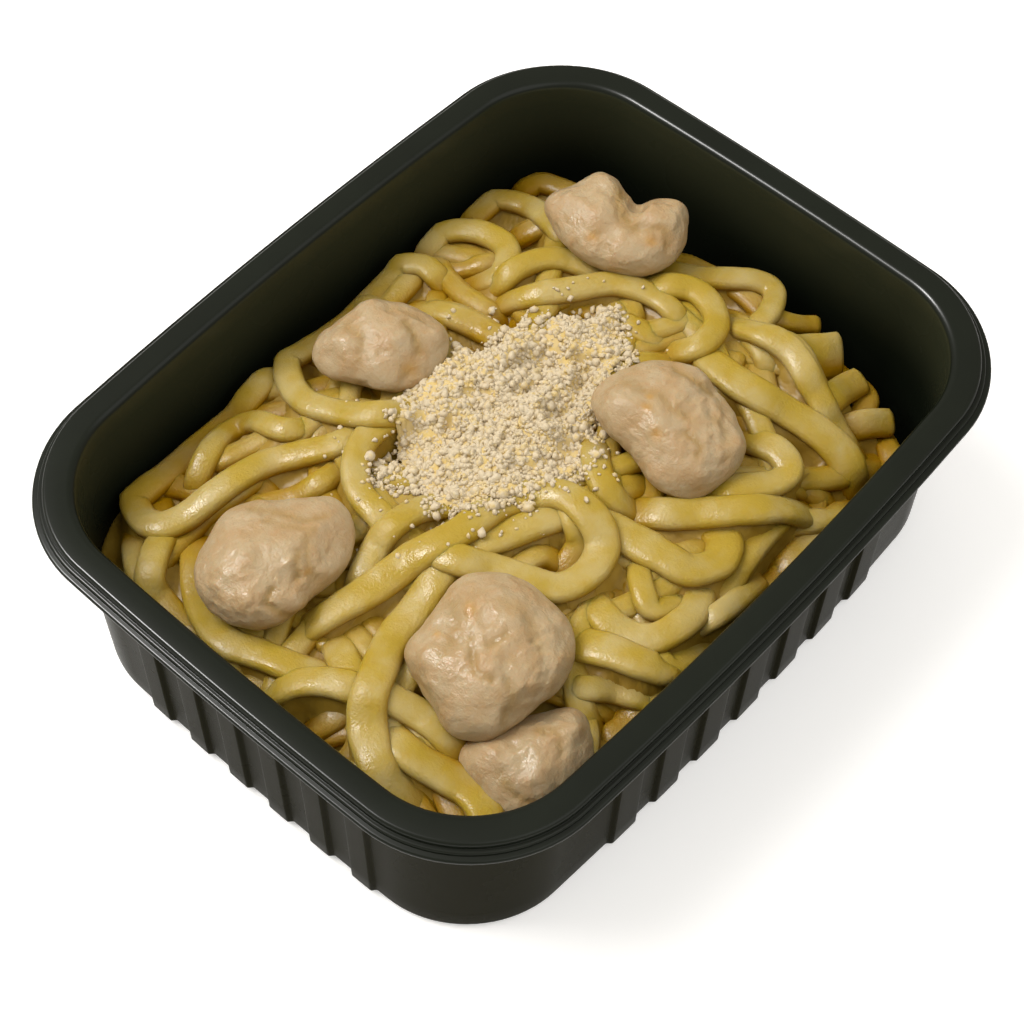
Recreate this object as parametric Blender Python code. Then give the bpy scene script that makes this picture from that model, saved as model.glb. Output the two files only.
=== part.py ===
"""Fettuccine alfredo with chicken and grated cheese, in its black ready-meal tray.

The origin is under the middle of the tray, on the surface that it stands on.
X runs along the tray's long sides, Y along its short sides and Z up.
Sizes are in millimetres here and become metres where a mesh is made.
"""
import math

import bmesh
import bpy
import numpy as np

MM = 0.001
GAP = 0.35
MERGE_DISTANCE = 0.0000001

# Tray: a thin pressed tray with a flat flange, a lip under it and ribbed walls
TRAY_LENGTH = 190.0
TRAY_WIDTH = 153.0
TRAY_HEIGHT = 56.0
LIP_REACH = 2.3
SHORT_SIDE_BOW = 1.7
LONG_SIDE_BOW = 3.4
CORNER_RADIUS = 28.5
CORNER_SHRINK = 0.8
FLANGE_WIDTH = 6.4
WALL_THICKNESS = 1.2
WALL_DRAFT = 0.2
LONG_WALL_LEAN = 2.0
LEAN_TOP = TRAY_HEIGHT - 4.0
FLOOR_THICKNESS = 1.4
CORNER_STEPS = 7
SIDE_STEPS = 4
FLANGE_HALF_LENGTH = TRAY_LENGTH / 2 - LIP_REACH - SHORT_SIDE_BOW
FLANGE_HALF_WIDTH = TRAY_WIDTH / 2 - LIP_REACH - LONG_SIDE_BOW

# Ribs: upright bars pressed out of the four walls, none in the corners
LONG_WALL_RIBS = 7
LONG_WALL_PITCH = 14.0
LONG_RIB_WIDTH = 7.0
LONG_RIB_SHIFT = 1.4
SHORT_WALL_RIBS = 6
SHORT_WALL_PITCH = 12.5
SHORT_RIB_WIDTH = 5.2
SHORT_RIB_SHIFT = 1.4
RIB_FLANK = 1.1
RIB_ROOT = 0.5
# Height of each level of a rib, and how far its face stands off the wall
RIB_LEVELS = ((0.5, -0.2), (1.2, 0.6), (2.6, 1.1), (48.6, 1.1), (50.9, 0.2))

# Heap: its noodles reach this surface, and the plain core lies below them
HEAP_HALF_LENGTH = 86.0
HEAP_HALF_WIDTH = 67.0
HEAP_EDGE_HEIGHT = 34.0
HEAP_RISE = 12.5
HEAP_TILT = 1.5
LOW_CORNER_DROP = 12.0
DOME_POWER = 2.4
DOME_SHOULDER = 0.75
CORE_DEPTH = 5.5
CORE_RINGS = 9

# Noodles: an oval section swept along each route
NOODLE_THICKNESS = 4.2
NOODLE_SIDES = 6
STATION_PITCH = 6.0
TUCK_DEPTH = 5.0
TUCK_LENGTH = 5.0
WALL_CLEARANCE = 0.6
SMOOTHING_ROUNDS = 3
BURIED_LEVEL = 0.72
COVERED_LEVEL = 0.86
SHORTEST_NOODLE = 9.0

# Lower noodles: short arcs spread by a seeded rule between the named ones
FILLER_SEED = 5
FILLER_COLUMNS = 5
FILLER_ROWS = 4
FILLER_WIDTH = 5.6
FILLER_LENGTH = 30.0
FILLER_BEND = 1.3
FILLER_LIFT = -3.4
FILLER_SPREAD = 0.82

# Each noodle: its width, its lift over the heap's surface at either end,
# and the plan positions that it passes, in order
NOODLES = {
    "far_left_loop": (6.4, (-1.0, -2.4), (
        (-6, 24), (-25, 30), (-42, 41), (-62, 45), (-67, 50), (-66, 57),
        (-61, 61), (-51, 63), (-41, 64), (-30, 65), (-23, 63), (-18, 57))),
    "chunk_left_loop": (6.0, (0.0, 0.0), (
        (24, 46), (26, 55), (21, 62), (12, 65), (1, 66), (-10, 63),
        (-19, 55), (-23, 45), (-20, 34), (-14, 26), (-7, 23))),
    "inner_arch": (5.4, (-4.0, -4.0), (
        (-56, 49), (-46, 54), (-38, 56), (-32, 53), (-30, 45), (-26, 40))),
    "inner_strand": (5.4, (-4.0, -4.0), ((-33, 58), (-27, 60), (-21, 56), (-18, 48))),
    "cheese_left_curve": (6.0, (-2.2, -2.2), (
        (-10, 24), (-17, 27), (-26, 25), (-33, 18), (-35, 9), (-38, 2))),
    "left_to_cheese": (6.0, (0.0, 0.5), ((-55, -1), (-45, 3), (-37, 5), (-29, 3), (-21, -4))),
    "centre_loop": (6.8, (1.5, -4.0), (
        (-68, 2), (-50, -3), (-38, -5), (-28, -8), (-16, -10), (-7, -17), (-6, -25),
        (-9, -32), (-16, -35), (-24, -33), (-28, -26), (-32, -16), (-34, -10))),
    "near_diagonal": (7.4, (0.0, 0.0), (
        (-38, -11), (-48, -13), (-56, -14), (-64, -17), (-71, -21), (-76, -27),
        (-79, -34), (-79, -43))),
    "near_low_strand": (7.2, (-2.2, -2.2), ((-69, -25), (-70, -34), (-69, -44), (-69, -51))),
    "near_mid_strand": (6.4, (-4.0, -4.0), (
        (-62, -2), (-65, -11), (-64, -21), (-63, -28), (-63, -36), (-65, -42))),
    "near_arch": (6.2, (-2.2, -2.2), ((-80, -1), (-74, -4), (-69, -11), (-67, -18))),
    "left_rim_strand": (6.2, (-2.2, -2.2), (
        (-65, 46), (-72, 43), (-78, 38), (-80, 30), (-80, 19), (-80, 6))),
    "left_rim_long": (6.8, (-2.2, -2.2), ((-65, 38), (-74, 27), (-77, 16), (-74, 5), (-70, -9))),
    "left_corner_strand": (5.4, (-4.5, -4.5), ((-71, 53), (-76, 44), (-78, 36))),
    "back_arch": (5.6, (0.0, 0.0), (
        (28, 60), (34, 61), (40, 57), (43, 50), (42, 42), (35, 37), (29, 39))),
    "back_far_arch": (5.6, (-2.2, -2.2), (
        (44, 58), (51, 61), (57, 58), (59, 50), (57, 40), (53, 31))),
    "back_cross": (5.6, (0.0, 0.0), ((29, 35), (38, 35), (45, 32), (49, 25), (50, 16))),
    "cheese_back_strand": (5.6, (0.0, 0.0), (
        (27, 30), (35, 25), (42, 20), (50, 14), (53, 4), (51, -6))),
    "right_loop": (6.0, (1.5, 1.5), (
        (54, 8), (60, 1), (60, -5), (56, -11), (48, -13), (42, -10))),
    "right_back_strand": (5.6, (-2.2, -2.2), (
        (62, 14), (69, 3), (77, -5), (78, -11), (71, -15), (62, -16))),
    "right_diagonal": (7.4, (0.0, 0.0), (
        (47, -13), (46, -25), (48, -35), (50, -45), (50, -53), (46, -61))),
    "right_upper_diagonal": (6.0, (-2.2, -2.2), (
        (59, -10), (63, -18), (64, -26), (60, -36), (55, -48), (53, -58))),
    "right_inner_strand": (5.2, (-4.0, -4.0), ((60, -13), (61, -18), (59, -23), (55, -27))),
    "right_u_loop": (6.2, (-2.2, -2.2), (
        (36, -35), (39, -42), (37, -47), (32, -47), (24, -42), (17, -38))),
    "right_ribbon": (7.2, (0.0, 0.0), ((2, -32), (10, -40), (19, -47), (27, -53), (31, -59))),
    "cheese_right_strand": (6.2, (-2.2, -2.2), ((12, -12), (7, -16), (3, -23), (3, -31))),
    "right_hook": (7.6, (0.0, 0.0), (
        (-6, -26), (-4, -34), (-2, -43), (0, -49), (6, -52), (11, -50), (12, -45))),
    "low_right_u": (6.2, (-2.2, -2.2), (
        (-20, -37), (-21, -47), (-17, -53), (-7, -55), (0, -53))),
    "low_right_ribbon": (7.6, (0.0, 0.0), ((-32, -42), (-27, -49), (-23, -57), (-20, -63))),
    "low_right_inner": (5.4, (-4.0, -4.0), ((-4, -38), (-9, -43), (-11, -48), (-5, -51))),
    "short_rod": (5.0, (-2.2, -2.2), ((-7, -58), (0, -59), (8, -60))),
    "near_right_strand": (5.4, (-4.0, -4.0), ((-39, -46), (-33, -52), (-28, -59), (-27, -63))),
    "right_flat_piece": (6.8, (-4.0, -4.0), ((73, -23), (76, -31), (73, -38))),
    "right_far_strand": (5.2, (-2.2, -2.2), ((63, -16), (66, -25), (65, -39), (73, -44))),
    "right_corner_strand": (5.2, (-4.0, -4.0), ((63, -42), (68, -48), (73, -50))),
}

# Chicken: every chunk lies on its broad side, tipped a little towards the near corner
CHUNK_TURN = math.radians(48.0)
CHUNK_SLOPE = math.radians(56.5)
CHUNK_TIP = 0.21
REACH_DIRECTIONS = 16
CHUNK_BANDS = 9
# Each chunk: its centre, its half thickness and its reach in sixteen directions round it
CHUNKS = {
    "chicken_back": ((60.7, 24.4, 44.8), 8.5, (
        17.0, 16.5, 9.0, 9.0, 12.5, 14.1, 14.6, 17.7,
        14.6, 12.3, 11.1, 10.8, 11.3, 12.7, 15.1, 16.5)),
    "chicken_left": ((-0.9, 40.8, 44.4), 8.0, (
        14.7, 13.8, 11.9, 10.8, 10.5, 11.2, 11.2, 12.8,
        16.9, 16.0, 12.1, 10.1, 10.3, 11.5, 12.6, 13.8)),
    "chicken_right": ((23.0, -23.3, 46.6), 9.0, (
        16.2, 14.9, 14.2, 15.6, 15.8, 16.4, 17.6, 18.4,
        14.0, 10.5, 10.0, 12.0, 14.6, 16.7, 16.9, 17.6)),
    "chicken_near_left": ((-59.3, 17.5, 45.4), 9.5, (
        16.1, 18.7, 18.9, 15.0, 13.3, 14.6, 15.7, 15.3,
        17.0, 17.2, 16.3, 15.0, 13.8, 12.0, 11.2, 12.9)),
    "chicken_near": ((-45.6, -31.8, 45.2), 9.7, (
        18.0, 18.2, 17.0, 17.2, 17.8, 17.0, 14.9, 15.3,
        17.6, 16.3, 16.1, 18.2, 17.0, 15.3, 14.7, 16.6)),
    "chicken_near_low": ((-54.6, -51.0, 36.8), 8.0, (
        13.7, 14.3, 13.5, 10.0, 8.5, 8.5, 9.5, 12.0,
        14.4, 12.4, 12.0, 12.8, 12.4, 11.6, 11.3, 12.4)),
}

# Cheese: a loose heap of crumbs in the middle, its reach in twelve directions
CHEESE_CENTRE = (6.9, 6.3)
CHEESE_REACH = (33.5, 26.0, 22.5, 22.0, 23.5, 29.0, 34.0, 27.5, 21.5, 19.5, 17.0, 24.0)
CHEESE_RISE = 5.0
CHEESE_EDGE_LIFT = 0.4
CHEESE_BUMP = 0.9
CHEESE_RINGS = 9
CHEESE_SPOKES = 36
CHEESE_SEED = 11

# Finishes: base colour, roughness and metallic value
TRAY_FINISH = ((0.012, 0.014, 0.013), 0.42, 0.0)
NOODLE_FINISH = ((0.56, 0.40, 0.12), 0.38, 0.0)
CHICKEN_FINISH = ((0.60, 0.41, 0.26), 0.45, 0.0)
CHEESE_FINISH = ((0.74, 0.62, 0.40), 0.70, 0.0)


def rounded_rectangle(half_length, half_width, radius, bow_x, bow_y):
    """Plan outline of the tray: four arcs joined by sides that bow outwards."""
    points = []
    centres = ((1, 1), (-1, 1), (-1, -1), (1, -1))
    for corner, (side_x, side_y) in enumerate(centres):
        centre = np.array((side_x * (half_length - radius), side_y * (half_width - radius)))
        for step in range(CORNER_STEPS + 1):
            angle = math.radians(90.0 * corner + 90.0 * step / CORNER_STEPS)
            points.append(centre + radius * np.array((math.cos(angle), math.sin(angle))))
        next_x, next_y = centres[(corner + 1) % 4]
        following = np.array((next_x * (half_length - radius), next_y * (half_width - radius)))
        turn = math.radians(90.0 * (corner + 1))
        following = following + radius * np.array((math.cos(turn), math.sin(turn)))
        last = points[-1]
        for step in range(1, SIDE_STEPS):
            points.append(last + (following - last) * step / SIDE_STEPS)
    outline = np.array(points)
    along_x = np.clip(1.0 - (outline[:, 0] / half_length) ** 2, 0.0, 1.0)
    along_y = np.clip(1.0 - (outline[:, 1] / half_width) ** 2, 0.0, 1.0)
    shift = np.column_stack((
        np.sign(outline[:, 0]) * bow_x * along_y,
        np.sign(outline[:, 1]) * bow_y * along_x))
    return outline + shift


def long_wall_lean(z):
    """How much further in the long walls lie at a height than the short walls do."""
    return LONG_WALL_LEAN * np.clip(1.0 - np.asarray(z) / LEAN_TOP, 0.0, 1.0)


def tray_outline(inset, z):
    """Plan outline at a height that lies this far inside the flange's outer edge."""
    return rounded_rectangle(
        FLANGE_HALF_LENGTH - inset, FLANGE_HALF_WIDTH - inset - float(long_wall_lean(z)),
        CORNER_RADIUS - CORNER_SHRINK * inset, SHORT_SIDE_BOW, LONG_SIDE_BOW)


def inner_wall_inset(z):
    """How far inside the flange's edge the tray's inner wall lies at a height."""
    return FLANGE_WIDTH + WALL_DRAFT * (TRAY_HEIGHT - np.asarray(z)) / TRAY_HEIGHT


def outer_wall_inset(z):
    """How far inside the flange's edge the tray's outer wall lies at a height."""
    return inner_wall_inset(z) - WALL_THICKNESS


def with_height(outline, z):
    """Plan outline as points in space, at one height or at a height for each point."""
    return np.column_stack((outline, np.broadcast_to(z, len(outline))))


def loft(rings, start_pole=None, end_pole=None):
    """Closed mesh through rings of equal count; an end is a flat cap or a pole."""
    count = len(rings[0])
    vertices = [tuple(point) for ring in rings for point in ring]
    faces = []
    for level in range(len(rings) - 1):
        for step in range(count):
            following = (step + 1) % count
            low = level * count
            high = low + count
            faces.append((low + step, low + following, high + following, high + step))
    for pole, base, flip in ((start_pole, 0, True), (end_pole, (len(rings) - 1) * count, False)):
        ring = [base + step for step in range(count)]
        if pole is None:
            faces.append(tuple(reversed(ring)) if flip else tuple(ring))
            continue
        vertices.append(tuple(pole))
        apex = len(vertices) - 1
        for step in range(count):
            pair = (ring[step], ring[(step + 1) % count])
            faces.append((pair[1], pair[0], apex) if flip else (pair[0], pair[1], apex))
    return vertices, faces


def make_object(name, vertices, faces, centre=(0.0, 0.0, 0.0)):
    """Object from millimetre points about a centre, with its faces turned outwards."""
    mesh = bpy.data.meshes.new(name)
    mesh.from_pydata([tuple(MM * value for value in point) for point in vertices], [], faces)
    tidy = bmesh.new()
    tidy.from_mesh(mesh)
    bmesh.ops.remove_doubles(tidy, verts=tidy.verts, dist=MERGE_DISTANCE)
    bmesh.ops.recalc_face_normals(tidy, faces=tidy.faces)
    tidy.to_mesh(mesh)
    tidy.free()
    thing = bpy.data.objects.new(name, mesh)
    thing.location = tuple(MM * value for value in centre)
    bpy.context.scene.collection.objects.link(thing)
    return thing


def finish_object(thing, finish, parent, sharp_angle):
    """Give an object its material, its parent and its shading."""
    colour, roughness, metallic = finish
    material = bpy.data.materials.new(thing.name)
    material.use_nodes = True
    shader = material.node_tree.nodes["Principled BSDF"]
    shader.inputs["Base Color"].default_value = (*colour, 1.0)
    shader.inputs["Roughness"].default_value = roughness
    shader.inputs["Metallic"].default_value = metallic
    thing.data.materials.clear()
    thing.data.materials.append(material)
    thing.data.shade_smooth()
    thing.data.set_sharp_from_angle(angle=math.radians(sharp_angle))
    thing.parent = parent


def join_group(thing, members, operation, solver):
    """Apply one Boolean of a whole group to an object, then remove the group."""
    group = bpy.data.collections.new(thing.name + "_members")
    bpy.context.scene.collection.children.link(group)
    for member in members:
        bpy.context.scene.collection.objects.unlink(member)
        group.objects.link(member)
    modifier = thing.modifiers.new("join", "BOOLEAN")
    modifier.operation = operation
    modifier.operand_type = "COLLECTION"
    modifier.collection = group
    modifier.solver = solver
    apply_modifiers(thing)
    for member in members:
        bpy.data.objects.remove(member)
    bpy.data.collections.remove(group)


def apply_modifiers(thing):
    """Replace an object's mesh with the mesh that its modifiers give."""
    graph = bpy.context.evaluated_depsgraph_get()
    graph.update()
    mesh = bpy.data.meshes.new_from_object(thing.evaluated_get(graph), depsgraph=graph)
    thing.modifiers.clear()
    thing.data = mesh


def keep_main_body(thing):
    """Keep the mesh's largest shell, so that scraps go and sealed hollows fill."""
    work = bmesh.new()
    work.from_mesh(thing.data)
    remaining = set(work.faces)
    shells = []
    while remaining:
        waiting = [remaining.pop()]
        shell = []
        while waiting:
            face = waiting.pop()
            shell.append(face)
            for edge in face.edges:
                for neighbour in edge.link_faces:
                    if neighbour in remaining:
                        remaining.discard(neighbour)
                        waiting.append(neighbour)
        shells.append(shell)
    main = max(shells, key=len)
    extra = [face for shell in shells if shell is not main for face in shell]
    bmesh.ops.delete(work, geom=extra, context="FACES")
    bmesh.ops.triangulate(work, faces=work.faces)
    work.to_mesh(thing.data)
    work.free()


def make_tray():
    """The tray: flange, lip, walls and floor in one loft, with ribs joined to its walls."""
    top = TRAY_HEIGHT
    inner_foot = float(inner_wall_inset(0.0))
    outer_foot = float(outer_wall_inset(0.0))
    profile = (
        (inner_foot + 3.4, FLOOR_THICKNESS),
        (inner_foot + 0.9, FLOOR_THICKNESS + 0.8),
        (float(inner_wall_inset(FLOOR_THICKNESS + 3.4)), FLOOR_THICKNESS + 3.4),
        (float(inner_wall_inset(top - 2.6)), top - 2.6),
        (FLANGE_WIDTH - 0.2, top - 0.9),
        (FLANGE_WIDTH - 1.3, top - 0.1),
        (FLANGE_WIDTH - 2.2, top),
        (1.3, top),
        (0.4, top - 0.3),
        (0.0, top - 1.1),
        (0.2, top - 1.7),
        (-1.3, top - 1.7),
        (-2.1, top - 2.1),
        (-LIP_REACH, top - 2.8),
        (-2.0, top - 3.7),
        (-1.2, top - 3.9),
        (-0.6, top - 2.9),
        (FLANGE_WIDTH - WALL_THICKNESS - 0.2, top - 2.7),
        (FLANGE_WIDTH - WALL_THICKNESS + 0.2, top - 4.0),
        (outer_foot, 2.4),
        (outer_foot + 0.5, 0.9),
        (outer_foot + 1.4, 0.2),
        (outer_foot + 2.6, 0.0),
    )
    rings = [with_height(tray_outline(inset, z), z) for inset, z in profile]
    tray = make_object("tray", *loft(rings))
    ribs = []
    wall_length = FLANGE_HALF_LENGTH + SHORT_SIDE_BOW
    wall_width = FLANGE_HALF_WIDTH + LONG_SIDE_BOW
    for turn, count, pitch, width, shift, lean, reach, bow, span in (
            (0.0, LONG_WALL_RIBS, LONG_WALL_PITCH, LONG_RIB_WIDTH, -LONG_RIB_SHIFT, 1.0,
             wall_width, LONG_SIDE_BOW, FLANGE_HALF_LENGTH),
            (90.0, SHORT_WALL_RIBS, SHORT_WALL_PITCH, SHORT_RIB_WIDTH, -SHORT_RIB_SHIFT, 0.0,
             wall_length, SHORT_SIDE_BOW, FLANGE_HALF_WIDTH)):
        for side in (0.0, 180.0):
            for index in range(count):
                along = (index - (count - 1) / 2) * pitch + shift
                distance = reach - bow * (along / span) ** 2
                ribs.append(make_rib(along, width, distance, lean, math.radians(turn + side)))
    join_group(tray, ribs, "UNION", "EXACT")
    keep_main_body(tray)
    return tray


def make_rib(along, width, distance, lean, turn):
    """One upright rib with sloped flanks, its root sunk in the wall behind it."""
    rings = []
    for z, rise in RIB_LEVELS:
        wall = distance - float(outer_wall_inset(z) + lean * long_wall_lean(z))
        root = wall - RIB_ROOT
        face = wall + rise
        half = width / 2
        corners = (
            (along - half - RIB_FLANK, root), (along - half, face),
            (along + half, face), (along + half + RIB_FLANK, root))
        ring = []
        for x, y in corners:
            ring.append((
                x * math.cos(turn) - y * math.sin(turn),
                x * math.sin(turn) + y * math.cos(turn), z))
        rings.append(ring)
    return make_object("rib", *loft(rings))


def heap_height(x, y):
    """Height of the heap's surface: a flat dome that sinks in one corner of the tray."""
    u = np.clip(np.abs(x) / HEAP_HALF_LENGTH, 0.0, 1.0)
    v = np.clip(np.abs(y) / HEAP_HALF_WIDTH, 0.0, 1.0)
    dome = ((1.0 - u ** DOME_POWER) * (1.0 - v ** DOME_POWER)) ** DOME_SHOULDER
    tilt = -HEAP_TILT * (x / HEAP_HALF_LENGTH + y / HEAP_HALF_WIDTH)
    right = np.clip(x / HEAP_HALF_LENGTH, 0.0, 1.0) ** 2
    near = np.clip(-y / HEAP_HALF_WIDTH, 0.0, 1.0) ** 2
    return HEAP_EDGE_HEIGHT + HEAP_RISE * dome + tilt - LOW_CORNER_DROP * right * near


def around(radii, angle):
    """Radius in a direction, read smoothly from radii at equal steps round a circle."""
    count = len(radii)
    position = np.mod(np.asarray(angle) / (2 * math.pi) * count, count)
    before = np.floor(position).astype(int)
    part = position - before
    values = np.asarray(radii)
    one, two, three, four = (values[(before + step) % count] for step in (-1, 0, 1, 2))
    return 0.5 * (
        2 * two + (three - one) * part
        + (2 * one - 5 * two + 4 * three - four) * part ** 2
        + (3 * two - one - 3 * three + four) * part ** 3)


def chunk_axes():
    """The chunks' shared directions: to the right, to the back, and the way that they bulge.

    The first two lie in the broad plane. The bulge leans out over its near edge, and
    the second is as long as makes the plane's reaches true square to the bulge.
    """
    up = np.array((0.0, 0.0, 1.0))
    across = np.array((math.cos(CHUNK_TURN), -math.sin(CHUNK_TURN), 0.0))
    away = np.array((math.sin(CHUNK_TURN), math.cos(CHUNK_TURN), 0.0))
    bulge = math.sin(CHUNK_SLOPE) * up - math.cos(CHUNK_SLOPE) * away
    back = away + CHUNK_TIP * up
    return across, back / (back @ np.cross(bulge, across)), bulge


def make_chunk(name, extra=0.0, centred=True):
    """One chicken chunk: a flattened lump whose reach changes round its axis."""
    centre, thickness, reach = CHUNKS[name]
    across, back, bulge = chunk_axes()
    angles = np.arange(REACH_DIRECTIONS) * 2 * math.pi / REACH_DIRECTIONS
    radii = around(reach, angles) + extra
    height = thickness + extra
    origin = np.zeros(3) if centred else np.array(centre)
    rings = []
    for band in range(1, CHUNK_BANDS):
        tilt = math.pi * (band / CHUNK_BANDS - 0.5)
        spread = radii[:, None] * math.cos(tilt)
        plane = np.cos(angles)[:, None] * across + np.sin(angles)[:, None] * back
        rings.append(origin + spread * plane + height * math.sin(tilt) * bulge)
    vertices, faces = loft(rings, origin - height * bulge, origin + height * bulge)
    return make_object(name, vertices, faces, centre if centred else (0.0, 0.0, 0.0))


def chunk_level(point, name, margin):
    """How far out a point lies from a chunk's centre: 1 is on its skin plus a margin."""
    centre, thickness, reach = CHUNKS[name]
    right, back, height = np.linalg.solve(np.column_stack(chunk_axes()), point - np.array(centre))
    radius = around(reach, math.atan2(back, right)) + margin
    return math.hypot(math.hypot(right, back) / radius, height / (thickness + margin))


def cheese_level(x, y, margin):
    """How far out a plan point lies in the cheese heap: 1 is on its edge plus a margin."""
    dx, dy = x - CHEESE_CENTRE[0], y - CHEESE_CENTRE[1]
    return np.hypot(dx, dy) / (around(CHEESE_REACH, np.arctan2(dy, dx)) + margin)


def core_height(x, y):
    """Top of the plain core under the noodles."""
    return heap_height(x, y) - CORE_DEPTH


def core_rim():
    """Plan outline of the core's top edge, which leans in with the wall as it sinks."""
    flange = tray_outline(0.0, LEAN_TOP)
    inward = tray_outline(1.0, LEAN_TOP) - flange
    leaning = (tray_outline(0.0, 0.0) - flange) / LONG_WALL_LEAN
    rough = flange + FLANGE_WIDTH * inward
    height = core_height(rough[:, 0], rough[:, 1])
    inset = inner_wall_inset(height) + GAP + 0.1
    return flange + inset[:, None] * inward + long_wall_lean(height)[:, None] * leaning


def make_core():
    """The heap's plain core, clear of the tray by a small gap all round."""
    floor_z = FLOOR_THICKNESS + GAP
    foot = float(inner_wall_inset(0.0)) + GAP
    rings = [
        with_height(tray_outline(foot + 3.6, 0.0), floor_z),
        with_height(tray_outline(foot + 1.1, 0.0), floor_z + 0.9),
        with_height(tray_outline(foot + 0.1, 0.0), floor_z + 3.6)]
    rim = core_rim()
    for step in range(CORE_RINGS):
        outline = rim * (1.0 - step / CORE_RINGS)
        rings.append(with_height(outline, core_height(outline[:, 0], outline[:, 1])))
    return make_object("noodles", *loft(rings, None, (0.0, 0.0, float(core_height(0.0, 0.0)))))


def smooth_route(points):
    """Points at even spacing along a smooth curve through the route's own points."""
    control = np.array(points, dtype=float)
    control = np.vstack((2 * control[0] - control[1], control, 2 * control[-1] - control[-2]))
    fine = []
    for index in range(1, len(control) - 2):
        one, two, three, four = control[index - 1:index + 3]
        part = np.linspace(0.0, 1.0, 24, endpoint=False)[:, None]
        fine.append(0.5 * (
            2 * two + (three - one) * part
            + (2 * one - 5 * two + 4 * three - four) * part ** 2
            + (3 * two - one - 3 * three + four) * part ** 3))
    fine = np.vstack(fine + [control[-2][None]])
    length = np.concatenate(((0.0,), np.cumsum(np.linalg.norm(np.diff(fine, axis=0), axis=1))))
    even = np.linspace(0.0, length[-1], max(3, round(length[-1] / STATION_PITCH) + 1))
    return np.column_stack([np.interp(even, length, fine[:, axis]) for axis in (0, 1)]), length[-1]


def keep_inside_tray(point, margin):
    """Move a point in plan until it clears the tray's inner wall by a margin."""
    inset = float(inner_wall_inset(point[2])) + margin
    radius = CORNER_RADIUS - CORNER_SHRINK * inset
    leaning = inset + float(long_wall_lean(point[2]))
    straight = np.array((FLANGE_HALF_LENGTH - inset - radius, FLANGE_HALF_WIDTH - leaning - radius))
    over = np.abs(point[:2]) - straight
    if over.min() > 0.0 and math.hypot(*over) > radius:
        over = over * radius / math.hypot(*over)
    over = np.minimum(over, radius)
    point[:2] = np.sign(point[:2]) * (straight + over)
    return point


def push_clear(station, margin):
    """Move one station off the chunks, the cheese and the walls by a margin."""
    for name, (centre, _, _) in CHUNKS.items():
        level = chunk_level(station, name, margin)
        if level < 1.0:
            station[:] = np.array(centre) + (station - np.array(centre)) / level
    level = float(cheese_level(station[0], station[1], margin))
    if level < 1.0:
        station[:2] = np.array(CHEESE_CENTRE) + (station[:2] - np.array(CHEESE_CENTRE)) / level
    keep_inside_tray(station, margin)


def clear_stations(stations, margin):
    """Push stations clear; where a noodle would cross a topping, keep its longest run."""
    free = []
    for station in stations:
        buried = any(chunk_level(station, name, margin) < BURIED_LEVEL for name in CHUNKS)
        covered = cheese_level(station[0], station[1], margin) < COVERED_LEVEL
        free.append(not buried and not covered)
    best, start = (0, 0), None
    for index, is_free in enumerate(free + [False]):
        if is_free and start is None:
            start = index
        if not is_free and start is not None:
            best = max(best, (index - start, start))
            start = None
    stations = stations[best[1]:best[1] + best[0]]
    for _ in range(SMOOTHING_ROUNDS):
        for station in stations:
            push_clear(station, margin)
        if len(stations) > 2:
            stations[1:-1] = (stations[:-2] + 2 * stations[1:-1] + stations[2:]) / 4
    for station in stations:
        push_clear(station, margin)
    return stations


def filler_noodles():
    """Lower noodles as width, lifts and route: one arc for each cell of a plan grid."""
    draw = np.random.default_rng(FILLER_SEED)
    noodles = []
    for column in range(FILLER_COLUMNS):
        for row in range(FILLER_ROWS):
            across = 2 * (column + 0.5 + draw.uniform(-0.2, 0.2)) / FILLER_COLUMNS - 1
            along = 2 * (row + 0.5 + draw.uniform(-0.2, 0.2)) / FILLER_ROWS - 1
            middle = FILLER_SPREAD * np.array((across * HEAP_HALF_LENGTH, along * HEAP_HALF_WIDTH))
            heading = draw.uniform(0.0, 2 * math.pi)
            bend = draw.uniform(-FILLER_BEND, FILLER_BEND)
            points = []
            for share in (-0.5, -0.17, 0.17, 0.5):
                turn = heading + bend * share
                step = share * FILLER_LENGTH
                points.append(middle + step * np.array((math.cos(turn), math.sin(turn))))
            noodles.append((FILLER_WIDTH, (FILLER_LIFT, FILLER_LIFT), points))
    return noodles


def make_noodle(width, lifts, points):
    """One noodle: an oval section swept along its route, its ends tucked into the heap."""
    lift_start, lift_end = lifts
    route, length = smooth_route(points)
    share = np.linspace(0.0, 1.0, len(route))
    from_end = np.minimum(share, 1.0 - share) * length
    lift = lift_start + (lift_end - lift_start) * share
    tuck = TUCK_DEPTH * np.exp(-(from_end / TUCK_LENGTH) ** 2)
    height = heap_height(route[:, 0], route[:, 1]) + lift - tuck
    margin = width / 2 + WALL_CLEARANCE
    stations = clear_stations(np.column_stack((route, height)), margin)
    if len(stations) < 3 or np.linalg.norm(stations[-1] - stations[0]) < SHORTEST_NOODLE / 2:
        return None
    tangent = np.gradient(stations, axis=0)
    tangent /= np.linalg.norm(tangent, axis=1)[:, None]
    side = np.cross(tangent, (0.0, 0.0, 1.0))
    side /= np.linalg.norm(side, axis=1)[:, None]
    upright = np.cross(side, tangent)
    rings = []
    for station, across, up in zip(stations, side, upright):
        ring = []
        for corner in range(NOODLE_SIDES):
            angle = 2 * math.pi * corner / NOODLE_SIDES
            ring.append(
                station + width / 2 * math.cos(angle) * across
                + NOODLE_THICKNESS / 2 * math.sin(angle) * up)
        rings.append(ring)
    return make_object("noodle", *loft(rings))


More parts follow.
